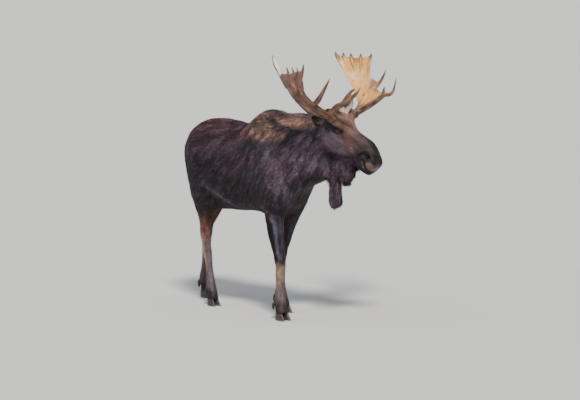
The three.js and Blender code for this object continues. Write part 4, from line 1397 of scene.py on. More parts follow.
# ---- Lie of the coat ----------------------------------------------------------------------------
@dataclass
class Lie:
    """Which way the hair lies, how long it is and how far its tips stand off the skin."""

    body: Body

    def direction(self, points: Array, normals: Array) -> Array:
        """The way that hair lies, along the skin.

        Args:
            points: places on the skin.
            normals: outward directions there.

        Returns:
            One direction for each place.
        """
        x, z = points[:, 0], points[:, 2]
        side = np.sign(points[:, 1])
        down = step(z, 1.70, 1.20)
        flow = np.stack([-0.95 + 0.35 * down, 0.18 * side, -0.28 - 0.50 * down], 1)
        shoulder = step(x, -0.02, 0.22) * step(x, 0.62, 0.42) * 0.75
        lean = mix([-0.62, 0.0, -0.80], [-0.95, 0.0, -0.20], step(z, 1.66, 1.76))
        leg = self.body.leg(points)
        face = HEAD.face(points)
        back = -HEAD.along - UP * 0.55 * step(face[:, 2], 0.02, -0.10)[:, None]
        sideways = HEAD.left * (np.sign(face[:, 1]) * 0.30)[:, None]
        flow = layered(flow, ([-0.30, 0.0, -0.95], shoulder * step(z, 1.72, 1.55)),
                       ([-0.90, 0.0, -0.25], step(z, 1.02, 0.90) * (1 - leg)),
                       ([-0.55, 0.0, -0.85], step(x, -0.62, -0.82)), (lean, self.body.neck(points)),
                       ([-0.16, 0.0, -1.0], leg * step(z, 1.06, 0.88)),
                       ([-0.02, 0.0, -1.0], self.body.bell(points)),
                       (back + sideways, self.body.head(points)))
        for ear in EARS:
            _, across, _ = ear.local(points)
            flow = mix(flow, unit(ear.axis) + ear.across * (across * 9)[:, None], ear.share(points))
        flow = flow - normals * np.einsum("ij,ij->i", flow, normals)[:, None]
        return unit(flow)

    def length(self, points: Array) -> Array:
        """The length of the hair, from a few millimetres on the face to a hand's breadth on the bell.

        Args:
            points: places on the skin.

        Returns:
            One length for each place.
        """
        x, z = points[:, 0], points[:, 2]
        length = np.full(len(points), 0.046)
        length += 0.026 * step(z, 1.58, 1.72) * step(x, -0.12, 0.10)
        length += 0.020 * step(x, -0.78, -0.88) * step(z, 1.0, 1.2)
        face = HEAD.face(points)
        short = 0.019 - 0.006 * step(face[:, 0], 0.0, 0.20) - 0.0075 * step(face[:, 0], 0.24, 0.33)
        crown = step(face[:, 0], -0.02, -0.12) * step(face[:, 2], 0.03, 0.08)
        throat = step(face[:, 2], -0.15, -0.21)
        crest = 0.050 + 0.030 * step(z, 1.62, 1.76)
        length = shifted(length, (crest, self.body.neck(points)), (0.032, self.body.leg(points)),
                         (0.019, step(z, 0.90, 0.55)),
                         (short + 0.016 * crown + 0.018 * throat, self.body.head(points)))
        for eye in EYES:
            length *= 0.38 + 0.62 * step(lengths(points - eye.centre), 0.024, 0.042)
        hang = 0.048 - 0.016 * step(z, 1.12, 1.03) + 0.044 * noise(points / 0.018, 33)
        return shifted(length, (0.024, self.body.ear(points)), (hang, self.body.bell(points)))

    def freedom(self, points: Array) -> Array:
        """How far hair hangs free of the skin where the skin ends, from 0 to 1.

        Args:
            points: places on the skin.

        Returns:
            One share for each place.
        """
        tail = step(points[:, 0], -0.86, -0.89) * step(points[:, 2], 1.40, 1.34)
        tail *= step(np.abs(points[:, 1]), 0.07, 0.05)
        return np.maximum.reduce([self.body.bell(points), self.body.ear(points), tail])

    def rise(self, points: Array, length: Array) -> Array:
        """How far the tips of the hair stand off the skin."""
        rise = 0.20 * length * (1 - 0.25 * self.body.head(points))
        return np.minimum(rise * (1 - 0.35 * step(points[:, 2], 0.60, 0.45)), 0.018)


# ---- Coat ---------------------------------------------------------------------------------------
def finder(places: Array) -> Callable[[Array], Array]:
    """A way to find the nearest of many places.

    Args:
        places: the places to choose from.

    Returns:
        A function from other places to the number of the nearest one to each.
    """
    tree = KDTree(len(places))
    for index, place in enumerate(places):
        tree.insert(place, index)
    tree.balance()
    return lambda others: np.fromiter((tree.find(other)[1] for other in others), int, len(others))


@dataclass
class Lines:
    """What the coat needs to know at every vertex of the skin."""

    points: Array
    normals: Array
    lay: Array
    length: Array
    half_way: Array
    end: Array
    half_normal: Array
    end_normal: Array
    rise: Array
    colour: Array
    streaks: Array
    atlas: Array

    @staticmethod
    def trace(shape: Shape, lie: Lie, markings: Markings, atlas: Callable[[Array], Array]) -> "Lines":
        """Follows the skin from each vertex to where a hair rooted there ends.

        Args:
            shape: the skin.
            lie: the lie of the coat.
            markings: its colours.
            atlas: the unwrap of the skin.

        Returns:
            The lines.
        """
        points, normals = shape.points, shape.normals()
        lay = lie.direction(points, normals)
        length = lie.length(points)
        nearest_to = finder(points)
        free = lie.freedom(points)

        def landed(share: float) -> tuple[Array, Array]:
            """The places and normals of the skin a share of the way along each hair.

            Args:
                share: the share of the way.

            Returns:
                Places away from the hair's root, and the skin's normals there.
            """
            aim = points + lay * (length * share)[:, None]
            nearest = nearest_to(aim)
            facing = normals[nearest]
            above = np.einsum("ij,ij->i", aim - points[nearest], facing)
            above = np.where(above > 0, above * (1 - free), above)
            return aim - facing * above[:, None] - points, facing

        half_way, half_normal = landed(0.5)
        end, end_normal = landed(1.0)
        return Lines(points, normals, lay, length, half_way, end, half_normal, end_normal,
                     lie.rise(points, length), markings.colour(points, normals),
                     combed(points, lay, 0.032, 0.085, 41), atlas(points))


class Atlas:
    """An unwrap of the skin's own shape: round and along each part, each in its own corner of the map."""

    CELLS = {"trunk": (0.01, 0.01, 0.60, 0.60), "head": (0.63, 0.01, 0.36, 0.36),
             "bell": (0.63, 0.40, 0.16, 0.20),
             "ear_right": (0.81, 0.40, 0.08, 0.20), "ear_left": (0.91, 0.40, 0.08, 0.20),
             "fore_right": (0.01, 0.63, 0.22, 0.36), "fore_left": (0.25, 0.63, 0.22, 0.36),
             "hind_right": (0.49, 0.63, 0.22, 0.36), "hind_left": (0.73, 0.63, 0.22, 0.36)}

    def __init__(self, body: Body) -> None:
        """Keeps the regions that the map is divided by."""
        self.body = body

    def cell(self, name: str, first: Array, second: Array, along: Array) -> Array:
        """Places in one cell of the map, round the axis of two directions and along it.

        Args:
            name: the cell's name.
            first: distances off the axis one way.
            second: distances off the axis the other way.
            along: a share of the length.

        Returns:
            Two map coordinates for each place.
        """
        left, low, width, height = self.CELLS[name]
        turn = np.arctan2(first, second) / math.tau + 0.5
        return np.stack([left + width * np.clip(turn, 0, 1), low + height * np.clip(along, 0, 1)], 1)

    def __call__(self, points: Array) -> Array:
        """The place of each skin vertex on the map.

        Args:
            points: places in the body's frame.

        Returns:
            Two map coordinates for each place.
        """
        place = self.cell("trunk", points[:, 1], points[:, 2] - 1.25, (points[:, 0] + 1.05) / 2.0)
        face, away = HEAD.face(points), points - HEAD.place(0, 0, 0)
        others = [(name, leg.membership(points), *leg.relative(points), points[:, 2] / 1.1)
                  for name, leg in self.body.legs.items()]
        others += [("head", self.body.head(points), face[:, 1], face[:, 2] + 0.06,
                    (face[:, 0] + 0.25) / 0.75),
                   ("bell", self.body.bell(points), away @ HEAD.left, away @ HEAD.forward,
                    (points[:, 2] - 0.98) / 0.5)]
        for name, ear in zip(("ear_right", "ear_left"), EARS):
            along, across, behind = ear.local(points)
            others.append((name, ear.share(points), across, behind - 0.012, along))
        for name, share, first, second, along in others:
            chosen = share > 0.5
            place[chosen] = self.cell(name, first, second, along)[chosen]
        return place


class Region(Enum):
    """The parts of the coat, each a piece of its own."""

    FLANK_RIGHT = 1
    FLANK_LEFT = 2
    BELLY = 3
    BACK = 4
    NECK = 5
    FORELEGS = 6
    HINDLEGS = 7
    HEAD = 8
    BELL = 9


@dataclass
class Growth:
    """One piece of the coat: where it grows and what its tufts are like."""

    region: Region
    count: int
    runs: int = 2
    width: float = 0.0042
    wild: float = 0.22
    longer: float = 1.0
    # Share of pale guard hairs: partly frosted hair, partly painted glints of light.
    frost_and_glint: float = 0.14
    contrast: float = 1.0
    lock: float = 0.013

    def roots(self, shape: Shape, dense: Array, random: np.random.Generator) -> tuple[Array, Array]:
        """Picks roots spread evenly over the chosen skin.

        Args:
            shape: the skin.
            dense: how closely roots are set on each of its triangles.
            random: the source of chance.

        Returns:
            The triangles of the roots, and three weights within each.
        """
        weight = shape.areas() * dense
        total = np.cumsum(weight)
        aim = (np.arange(self.count) + random.random(self.count)) / self.count * total[-1]
        face = np.minimum(np.searchsorted(total, aim), len(weight) - 1)
        first, second = np.sqrt(random.random(self.count)), random.random(self.count)
        return face, np.stack([1 - first, first * (1 - second), first * second], 1)

    def grow(self, shape: Shape, dense: Array, lines: Lines) -> tuple[Shape, Array, Array]:
        """Makes the tufts.

        Args:
            shape: the skin.
            dense: how closely roots are set on each of its triangles.
            lines: what is known at its vertices.

        Returns:
            The tufts' mesh, the colour of each vertex and its place on the map.
        """
        seed = self.region.value
        random = np.random.default_rng(seed)
        face, weights = self.roots(shape, dense, random)
        corners = shape.faces[face]

        def at(values: Array) -> Array:
            """Values at the roots, between those of the skin's vertices."""
            spread = weights[..., None] if values.ndim > 1 else weights
            return (values[corners] * spread).sum(axis=1)

        root, normal, lay = at(lines.points), unit(at(lines.normals)), unit(at(lines.lay))
        length, rise = at(lines.length), at(lines.rise)
        across = np.cross(lay, normal)
        lock = combed(root, lay, self.lock, self.lock * 2.8, seed)
        clump = 0.5 + 0.80 * (lock - 0.5) + 0.60 * (at(lines.streaks) - 0.5)
        swing = random.normal(0, self.wild, self.count) + (lock - 0.5) * 0.8
        grown = self.longer * (0.70 + 0.45 * random.random(self.count))
        high = rise * np.clip(0.60 + 0.55 * random.random(self.count) + 1.1 * (clump - 0.5), 0.2, 1.7)
        wide = self.width * (0.55 + 0.75 * random.random(self.count)) * np.clip(length / 0.045, 0.32, 1.25)
        roll = random.normal(0, 0.30, self.count)
        flat = across * np.cos(roll)[:, None] + normal * np.sin(roll)[:, None]
        middle, end = at(lines.half_way), at(lines.end)
        middle_normal, end_normal = unit(at(lines.half_normal)), unit(at(lines.end_normal))
        shares = np.linspace(0, 1, self.runs + 1)
        rows = []
        for share in shares:
            reach = share * grown
            sag = (middle - end * 0.5) * (4 * share * (1 - share) * grown)[:, None]
            facing = unit(mix(normal, mix(middle_normal, end_normal, share), reach.clip(0, 1)))
            lift = high * (1.35 * share - 0.35 * share**2) - (0.0025 if share == 0 else 0.0)
            side = across * (np.sin(swing) * length * reach * share)[:, None]
            place = root + end * reach[:, None] + sag + side + facing * lift[:, None]
            half = flat * (wide * (0.5 - 0.22 * share))[:, None]
            rows += [place - half, place + half] if share < 1 else [place]
        points = np.stack(rows, 1)
        per = points.shape[1]
        pattern = []
        for run in range(self.runs - 1):
            a = 2 * run
            pattern += [(a, a + 1, a + 3), (a, a + 3, a + 2)]
        pattern.append((per - 3, per - 2, per - 1))
        faces = (np.arange(self.count)[:, None, None] * per + np.array(pattern)[None]).reshape(-1, 3)
        colour = self.dyed(at(lines.colour), clump, random)
        # Painted shade darkens each tuft toward its root, and a painted highlight lightens it toward its tip.
        shade = np.repeat([0.42 + 0.85 * share for share in shares], 2)[:per]
        colours = colour[:, None] * shade[None, :, None]
        offsets = np.array([((k % 2) - 0.5, (k // 2) / self.runs) for k in range(per)]) * SPECK
        offsets[-1] = (0.0, SPECK)
        maps = lines.atlas[corners[:, 0]][:, None] + offsets[None]
        return Shape(points.reshape(-1, 3), faces), colours.reshape(-1, 3), maps.reshape(-1, 2)

    def dyed(self, base: Array, clump: Array, random: np.random.Generator) -> Array:
        """The colour of each tuft: the coat's, varied by streaks, with a few pale guard hairs that are partly
        frosted hair and partly painted glints.

        Args:
            base: the coat's colour at the roots.
            clump: the pattern of streaks.
            random: the source of chance.

        Returns:
            One colour for each tuft.
        """
        count = len(base)
        bright = np.exp((random.normal(0, 0.50, count) + (clump - 0.5) * 1.4) * self.contrast)
        colour = base * bright[:, None]
        warm = random.random(count) * step(clump, 0.35, 0.75)
        colour = mix(colour, colour * np.array([1.50, 1.08, 0.95]), 0.5 * warm)
        # Pale guard hairs in the streaks: partly frosted hair, partly painted glints of light.
        frosted_and_glinting = (random.random(count) < self.frost_and_glint * 2.6 * step(clump, 0.40, 0.85)).astype(float)
        guard = base * 2.6 + tint(0.260, 0.215, 0.240)
        return mix(colour, guard, 0.8 * frosted_and_glinting)


# ---- Finishes -----------------------------------------------------------------------------------
class Nodes:
    """A small helper that lays out a material's nodes."""

    def __init__(self, name: str) -> None:
        """Starts a material with a plain shader.

        Args:
            name: the material's name.
        """
        self.material = bpy.data.materials.new(name)
        self.material.use_nodes = True
        self.tree = self.material.node_tree
        self.shader = self.tree.nodes["Principled BSDF"]

    def fill(self, node: bpy.types.Node, inputs: dict[str | int, object]) -> None:
        """Gives a node's inputs what they work on.

        Args:
            node: the node.
            inputs: a value or another node's output for each input, by name or number.
        """
        for key, value in inputs.items():
            if isinstance(value, Socket):
                self.tree.links.new(value, node.inputs[key])
            else:
                node.inputs[key].default_value = value

    def run(self, kind: str, output: str, inputs: dict[str | int, object], **settings: str) -> Socket:
        """Adds a node.

        Args:
            kind: the node's type.
            output: the name of the output that is wanted.
            inputs: a value or another node's output for each input, by name or number.
            settings: the node's settings, by attribute name.

        Returns:
            The output.
        """
        node = self.tree.nodes.new(kind)
        for key, value in settings.items():
            setattr(node, key, value)
        self.fill(node, inputs)
        return node.outputs[output]

    def place(self) -> Socket:
        """The place on the piece."""
        return self.run("ShaderNodeTexCoord", "Object", {})

    def stretched(self, scale: tuple[float, float, float]) -> Socket:
        """The place on the piece, scaled along each axis."""
        return self.run("ShaderNodeMapping", "Vector", {"Vector": self.place(), "Scale": scale})

    def stored(self, name: str, output: str) -> Socket:
        """A colour or vector stored with the mesh."""
        return self.run("ShaderNodeAttribute", output, {}, attribute_name=name)

    def noise(self, vector: Socket, scale: float, detail: float = 3.0) -> Socket:
        """Noise at a vector, from 0 to 1."""
        inputs = {"Vector": vector, "Scale": scale, "Detail": detail, "Roughness": 0.6}
        return self.run("ShaderNodeTexNoise", "Fac", inputs)

    def scaled(self, value: Socket, low: float, high: float) -> Socket:
        """A value from 0.3 to 0.7 spread between two numbers."""
        inputs = {"Value": value, "From Min": 0.3, "From Max": 0.7, "To Min": low, "To Max": high}
        return self.run("ShaderNodeMapRange", "Result", inputs)

    def shaded(self, colour: Socket, value: Socket) -> Socket:
        """A colour multiplied by a value."""
        return self.run("ShaderNodeVectorMath", "Vector", {0: colour, "Scale": value}, operation="SCALE")

    def maths(self, operation: str, *values: Socket | float) -> Socket:
        """The result of a sum."""
        return self.run("ShaderNodeMath", "Value", dict(enumerate(values)), operation=operation)

    def bump(self, height: Socket, distance: float, strength: float) -> None:
        """Gives the shader a bumpy surface."""
        inputs = {"Height": height, "Distance": distance, "Strength": strength}
        self.fill(self.shader, {"Normal": self.run("ShaderNodeBump", "Normal", inputs)})

    def dress(self, *variations: tuple[Socket, float, float], colour: Socket | None = None,
              **values: float) -> None:
        """Gives the shader a colour, varied by noise, and its settings.

        Args:
            variations: for each noise, what it multiplies the colour by at its low and its high end.
            colour: the colour, or None for the one stored with the mesh.
            values: the shader's settings, by input name with _ for a space.
        """
        colour = colour or self.stored(COLOUR, "Color")
        for value, low, high in variations:
            colour = self.shaded(colour, self.scaled(value, low, high))
        self.fill(self.shader, {"Base Color": colour})
        self.fill(self.shader, {key.replace("_", " "): value for key, value in values.items()})

    def lay_space(self) -> Socket:
        """Coordinates drawn out along the lie of the hair, so that noise in them looks combed.

        Returns:
            The coordinates.
        """
        place, lay = self.place(), self.stored(LAY, "Vector")
        dot = self.run("ShaderNodeVectorMath", "Value", {0: place, 1: lay}, operation="DOT_PRODUCT")
        back = self.shaded(lay, self.maths("MULTIPLY", dot, -0.9))
        return self.run("ShaderNodeVectorMath", "Vector", {0: place, 1: back}, operation="ADD")


@dataclass(frozen=True)
class CoatFinish:
    """Hair: its own colours, a soft sheen and a combed surface."""

    name: str
    roughness: float = 0.46
    sheen: float = 0.02
    gloss: float = 0.26
    bump: float = 0.0010
    combed: bool = False

    def make(self) -> Material:
        """The material.

        Returns:
            The material with all its nodes.
        """
        nodes = Nodes(self.name)
        place = nodes.lay_space() if self.combed else nodes.place()
        fine = nodes.noise(place, 420.0 if self.combed else 260.0)
        nodes.dress((fine, 0.72, 1.34), (nodes.noise(place, 38.0), 0.84, 1.18), Roughness=self.roughness,
                    Sheen_Weight=self.sheen, Sheen_Roughness=0.45, Specular_IOR_Level=self.gloss)
        nodes.bump(fine, self.bump, 0.8 if self.combed else 0.3)
        return nodes.material


@dataclass(frozen=True)
class AntlerFinish:
    """Antler: stained, grooved along its growth, polished at the tips."""

    name: str = "antler_bone"
    roughness: float = 0.46

    def make(self) -> Material:
        """The material.

        Returns:
            The material with all its nodes.
        """
        nodes = Nodes(self.name)
        place = nodes.place()
        groove = nodes.noise(nodes.stored(LAY, "Vector"), 150.0, 4.0)
        nodes.dress((groove, 0.74, 1.20), (nodes.noise(place, 24.0, 4.0), 0.82, 1.16),
                    Roughness=self.roughness, Specular_IOR_Level=0.45)
        pore = nodes.noise(place, 420.0, 2.0)
        nodes.bump(nodes.maths("MULTIPLY_ADD", pore, 0.22, groove), 0.0035, 0.75)
        return nodes.material


@dataclass(frozen=True)
class HoofFinish:
    """Horn of the hooves: dark, ringed across, paler and dusty near the ground."""

    name: str = "hoof_horn"
    roughness: float = 0.44

    def make(self) -> Material:
        """The material.

        Returns:
            The material with all its nodes.
        """
        nodes = Nodes(self.name)
        rings = nodes.noise(nodes.stretched((0.10, 0.10, 1.0)), 230.0, 3.0)
        fibre = nodes.noise(nodes.stretched((1.0, 1.0, 0.12)), 380.0, 3.0)
        nodes.dress((rings, 0.70, 1.30), (fibre, 0.80, 1.22), Roughness=self.roughness,
                    Specular_IOR_Level=0.45)
        nodes.bump(rings, 0.0012, 0.6)
        return nodes.material


@dataclass(frozen=True)
class EyeFinish:
    """The eye: dark brown iris under a wet clear coat."""

    name: str = "eye_wet"

    def make(self) -> Material:
        """The material.

        Returns:
            The material with all its nodes.
        """
        nodes = Nodes(self.name)
        nodes.dress((nodes.noise(nodes.stored(LAY, "Vector"), 9.0, 3.0), 0.75, 1.25), Roughness=0.22,
                    Specular_IOR_Level=0.15, Coat_Weight=0.55, Coat_Roughness=0.02, Coat_IOR=1.36)
        return nodes.material


@dataclass(frozen=True)
class FloorFinish:
    """The studio's plain pale floor."""

    name: str = "studio_floor"

    def make(self) -> Material:
        """The material.

        Returns:
            The material with all its nodes.
        """
        nodes = Nodes(self.name)
        pale = nodes.run("ShaderNodeCombineXYZ", "Vector", {"X": 0.60, "Y": 0.595, "Z": 0.585})
        nodes.dress((nodes.noise(nodes.place(), 0.6, 2.0), 0.985, 1.015), colour=pale, Roughness=0.9,
                    Specular_IOR_Level=0.1)
        return nodes.material


# ---- Pieces -------------------------------------------------------------------------------------
def paint(piece: Object, name: str, values: Array) -> None:
    """Stores a colour for each vertex of a piece.

    Args:
        piece: the piece.
        name: the name the material reads it by.
        values: one linear colour for each vertex.
    """
    layer = piece.data.color_attributes.new(name, "FLOAT_COLOR", "POINT")
    full = np.ones((len(values), 4), np.float32)
    full[:, :3] = np.clip(values, 0.0, 1.0)
    layer.data.foreach_set("color", full.ravel())


def store(piece: Object, name: str, values: Array) -> None:
    """Stores a vector for each vertex of a piece."""
    layer = piece.data.attributes.new(name, "FLOAT_VECTOR", "POINT")
    layer.data.foreach_set("vector", values.astype(np.float32).ravel())


def unwrap(piece: Object, faces: Array, maps: Array) -> None:
    """Gives a piece its map, one place for each corner of its triangles.

    Args:
        piece: the piece.
        faces: its triangles.
        maps: a place on the map for each vertex.
    """
    corners = maps[faces]
    torn = (np.ptp(corners, axis=1) > WIDEST_FACE).any(axis=1)
    corners[torn] = corners[torn, :1] + SPECK * np.array([(0, 0), (1, 0), (0, 1)])
    layer = piece.data.uv_layers.new(name=BAKE_MAP)
    layer.data.foreach_set("uv", corners.astype(np.float32).ravel())


def settle(piece: Object, material: Material,
           replaced: Sequence[str] = ()) -> None:
    """Dresses a piece and fixes it to the frame.

    Args:
        piece: the piece.
        material: its finish.
        replaced: the solids that it stands for.
    """
    piece.data.materials.append(material)
    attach(piece, "root")
    if replaced:
        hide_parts(*replaced)
    log.info("%s: %d triangles", piece.name, len(piece.data.polygons))


# ---- Antlers ------------------------------------------------------------------------------------
TOP_TINES = 5
GRAIN_REACH = 0.12
Place = tuple[float, float, float]
BladeStop = tuple[Place, Place, float, float]
Stop = tuple[float, float, float, float]
RIGHT_PALM = [
    ((-32, 112, -44), (38, 112, -40), 36, 0), ((-44, 190, -20), (30, 190, 12), 36, 0),
    ((-70, 280, 6), (14, 284, 60), 34, 0), ((-112, 368, 40), (-6, 384, 120), 27, 8),
    ((-158, 418, 104), (-34, 450, 172), 19, 20), ((-210, 460, 180), (-54, 500, 235), 14, 32),
    ((-256, 478, 258), (-54, 520, 304), 12, 38), ((-304, 488, 330), (-66, 526, 362), 10, 36),
    ((-322, 492, 370), (-70, 526, 402), 6, 24)]
LEFT_PALM = [
    ((-30, 112, -40), (36, 112, -40), 33, 0), ((-38, 190, -6), (24, 190, 10), 31, 0),
    ((-50, 280, 10), (10, 284, 51), 28, 0), ((-84, 368, 46), (2, 384, 120), 24, 8),
    ((-138, 418, 99), (-22, 450, 171), 19, 20), ((-214, 460, 185), (-42, 500, 244), 14, 32),
    ((-290, 478, 279), (-50, 520, 323), 12, 38), ((-364, 488, 370), (-54, 526, 396), 10, 36),
    ((-378, 492, 410), (-58, 526, 424), 6, 24)]
LEFT_WEBS = [
    [((-60, 396, 118), (16, 402, 128), 14, 0), ((-52, 452, 188), (70, 424, 192), 10, 4),
     ((-44, 508, 262), (92, 431, 224), 5, 4)],
    [((14, 290, 52), (66, 222, 32), 12, 0), ((6, 388, 116), (140, 240, 78), 11, 0),
     ((46, 424, 190), (246, 257, 156), 8, 0)]]
RIGHT_TINES = [
    [(-290, 490, 330, 24), (-322, 492, 404, 24), (-358, 491, 456, 21), (-392, 491, 528, 6)],
    [(-220, 500, 350, 13), (-225, 502, 394, 11), (-244, 500, 442, 4)],
    [(-156, 508, 350, 13), (-165, 508, 396, 11), (-192, 506, 445, 4)],
    [(-104, 514, 350, 13), (-111, 516, 394, 11), (-138, 514, 448, 4)],
    [(-80, 524, 340, 17), (-66, 527, 410, 13), (-48, 526, 486, 4)],
    [(-44, 398, 112, 20), (6, 404, 154, 25), (54, 412, 218, 19), (110, 424, 298, 12), (154, 436, 368, 4)],
    [(2, 190, 22, 32), (74, 206, 90, 28), (159, 224, 130, 21), (264, 240, 200, 17), (307, 246, 238, 12),
     (339, 250, 279, 4)],
    [(143, 226, 128, 18), (212, 238, 210, 15), (258, 243, 248, 11), (290, 245, 262, 4)]]
LEFT_TINES = [
    [(-330, 496, 350, 22), (-372, 492, 421, 16), (-395, 488, 463, 5)],
    [(-296, 504, 386, 15), (-312, 504, 426, 12), (-321, 504, 462, 4)],
    [(-230, 510, 386, 15), (-244, 515, 428, 12), (-250, 514, 457, 4)],
    [(-150, 518, 386, 15), (-152, 521, 430, 12), (-149, 520, 463, 4)],
    [(-66, 524, 380, 16), (-56, 528, 432, 12), (-46, 526, 466, 4)],
    [(-34, 400, 120, 20), (58, 417, 186, 18), (117, 436, 266, 13), (152, 452, 353, 4)],
    [(12, 176, -14, 30), (48, 212, 18, 29), (119, 236, 61, 27), (201, 250, 119, 24), (250, 258, 155, 21),
     (303, 266, 162, 16), (335, 272, 200, 12), (360, 284, 322, 4)],
    [(236, 256, 150, 15), (246, 257, 190, 12), (255, 256, 231, 4)]]

ANTLER_RED = tint(0.4, 0.265, 0.21)
ANTLER_DARK = tint(0.215, 0.135, 0.115)
ANTLER_GREY = tint(0.44, 0.335, 0.285)
ANTLER_TAN = tint(0.68, 0.54, 0.42)
ANTLER_GOLD = tint(0.9, 0.65, 0.37)
ANTLER_CREAM = tint(0.95, 0.78, 0.54)
ANTLER_IVORY = tint(0.95, 0.88, 0.76)


@dataclass
class Antler(Sided):
    """One antler in a single piece: beam, palm, tines and brow branch.

    Stops are in millimetres forward of, out from and above the middle of the crown.
    """

    name: str
    side: int
    palm: list[BladeStop]
    webs: list[list[BladeStop]]
    tines: list[list[Stop]]
    voxel: float = 0.0046
    palm_mesh: tuple[int, int] = (44, 70)
    web_mesh: tuple[int, int] = (32, 28)
    tine_mesh: tuple[int, int] = (18, 30)

    def place(self, forward: float, out: float, up: float) -> Array:
        """A place in the body's frame."""
        return self.spot((forward - 8) / 1000, out / 1000, (up + 127) / 1000)

    def blade(self, stops: list[BladeStop]) -> Array:
        """Rows of rear edge, front edge, half thickness and cup in the body's frame."""
        return np.array([[*self.place(*rear), *self.place(*front), thick / 1000, cup / 1000]
                         for rear, front, thick, cup in stops])

    @property
    def inward(self) -> Array:
        """The direction that the hollow of the palm faces."""
        return self.direction(0.25, -1.0, 0.35)

    def parts(self) -> tuple[list[Shape], list[Array]]:
        """The antler's overlapping bodies, and for each its growth lines.

        Returns:
            The bodies, and for each a pattern of coordinates across and along its growth.
        """
        blade = self.blade(self.palm)
        shapes = [self.scalloped(bent_blade(blade, self.inward, *self.palm_mesh))]
        grains = [self.grain(blade, *self.palm_mesh)]
        for stops in self.webs:
            web = self.blade(stops)
            shapes.append(bent_blade(web, self.direction(0, -1, 0), *self.web_mesh))
            grains.append(self.grain(web, *self.web_mesh))
        for index, tine in enumerate(self.tines):
            stops = np.array([[*self.place(*stop[:3]), stop[3] / 1000] for stop in tine])
            if index < TOP_TINES:
                back = stops[0, :3] - stops[1, :3]
                root = [*(stops[0, :3] + unit(back) * 0.090), 0.003]
                stops[0, 3] *= 0.70
                stops = np.vstack([root, stops])
            shapes.append(rod(stops, *self.tine_mesh))
            reach = np.linalg.norm(stops[-1, :3] - stops[0, :3])
            turn = turns(self.tine_mesh[0])
            around = np.stack([np.cos(turn), np.sin(turn)], 1) * 0.02
            along = np.linspace(0, reach, self.tine_mesh[1]) * GRAIN_REACH
            grains.append(self.rolled(around, along) + [index * 0.7, 0, 0])
        burr = np.array([[*self.place(0, 152, -22), 0.034], [*self.place(-1, 166, -16), 0.046],
                         [*self.place(-2, 178, -11), 0.043], [*self.place(-4, 196, -3), 0.030]])
        shapes.append(rod(burr, 40, 14))
        return shapes, grains

    def scalloped(self, palm: Shape) -> Shape:
        """The palm with its upper edge drawn up toward each tine and hollowed between them.

        Args:
            palm: the palm with a plain edge.

        Returns:
            The palm with a scalloped edge.
        """
        away = palm.points - self.place(0, 0, 0)
        edge = step(away[:, 2], 0.300, 0.400)
        fore = away @ HEAD.forward
        bases = np.array([tine[0][0] * 0.25 + tine[1][0] * 0.75 for tine in self.tines[:TOP_TINES]]) / 1000
        gap = np.abs(fore[:, None] - bases).min(axis=1)
        rise = 0.030 * bell_curve(gap, 0.019) - 0.008
        return Shape(palm.points + UP * (rise * edge)[:, None], palm.faces)

    @staticmethod
    def rolled(around: Array, along: Array) -> Array:
        """Two coordinates round each ring and one along the rings, for every vertex of a loft.

        Args:
            around: two coordinates for each side, the same or not for each ring.
            along: one coordinate for each ring.

        Returns:
            Three coordinates for each vertex.
        """
        sides = around.shape[-2]
        around = np.broadcast_to(around, (len(along), sides, 2))
        along = np.broadcast_to(along[:, None, None], (len(along), sides, 1))
        grid = np.concatenate([around, along], 2).reshape(-1, 3)
        return np.vstack([grid, grid[0], grid[-1]])

    def grain(self, stops: Array, sides: int, rings: int) -> Array:
        """Coordinates of a blade across and along its growth.

        Args:
            stops: rows of rear edge, front edge, half thickness and cup.
            sides: sides of its sections.
            rings: how many sections.

        Returns:
            Three coordinates for each vertex of the blade.
        """
        path = smooth_curve(stops[:, :6], rings)
        wide = np.clip(lengths(path[:, 3:] - path[:, :3]), 0.05, 0.20)[:, None]
        runs = lengths(np.diff((path[:, :3] + path[:, 3:]) / 2, axis=0))
        turn = turns(sides, 0.5)[None]
        around = np.stack([np.cos(turn) * wide, np.sin(turn) * 0.03 + 0 * wide], 2)
        return self.rolled(around, np.concatenate([[0], np.cumsum(runs)]) * GRAIN_REACH)

    def build(self, material: Material) -> None:
        """Makes the antler.

        Args:
            material: its finish.
        """
        shapes, grains = self.parts()
        whole = remeshed(shapes[0].joined(*shapes[1:]), self.voxel).relaxed(5, 0.45)
        grown = [shape.points for shape in shapes[:len(grains)]]
        nearest = finder(np.vstack(grown))(whole.points)
        grain = np.vstack(grains)[nearest]
        tine = np.repeat(np.arange(len(grown)), [len(each) for each in grown])[nearest]
        tine += len(self.tines) - len(grown)
        normals = whole.normals()
        ridges = noise(grain / 0.010, 5) - 0.5 + 0.6 * (noise(grain / 0.005, 6) - 0.5)
        thin = step(self.tip_share(whole.points), 0.9, 0.6)
        lumps = noise(whole.points / 0.011, 8) - 0.5
        near_burr = step(lengths(whole.points - self.place(-1, 170, -15)), 0.062, 0.042)
        lift = 0.0028 * ridges * thin + 0.008 * lumps * near_burr
        piece = make_object(f"antler_{self.name}", Shape(whole.points + normals * lift[:, None], whole.faces))
        paint(piece, COLOUR, self.colours(whole.points, normals, ridges, tine))
        store(piece, LAY, grain)
        settle(piece, material, [f"antler_{self.name}_{part}" for part in ("beam", "palm", "brow")])

    def tip_share(self, points: Array) -> Array:
        """How near places are to the tip of a tine: 1 at the tip, 0 at its root.

        Args:
            points: places in the body's frame.

        Returns:
            One share for each place.
        """
        best = np.zeros(len(points))
        for tine in self.tines:
            path = np.array([self.place(*stop[:3]) for stop in tine])
            gap, share = distance_to_path(points, path)
            best = np.maximum(best, np.where(gap < 0.030, share, 0.0))
        return best

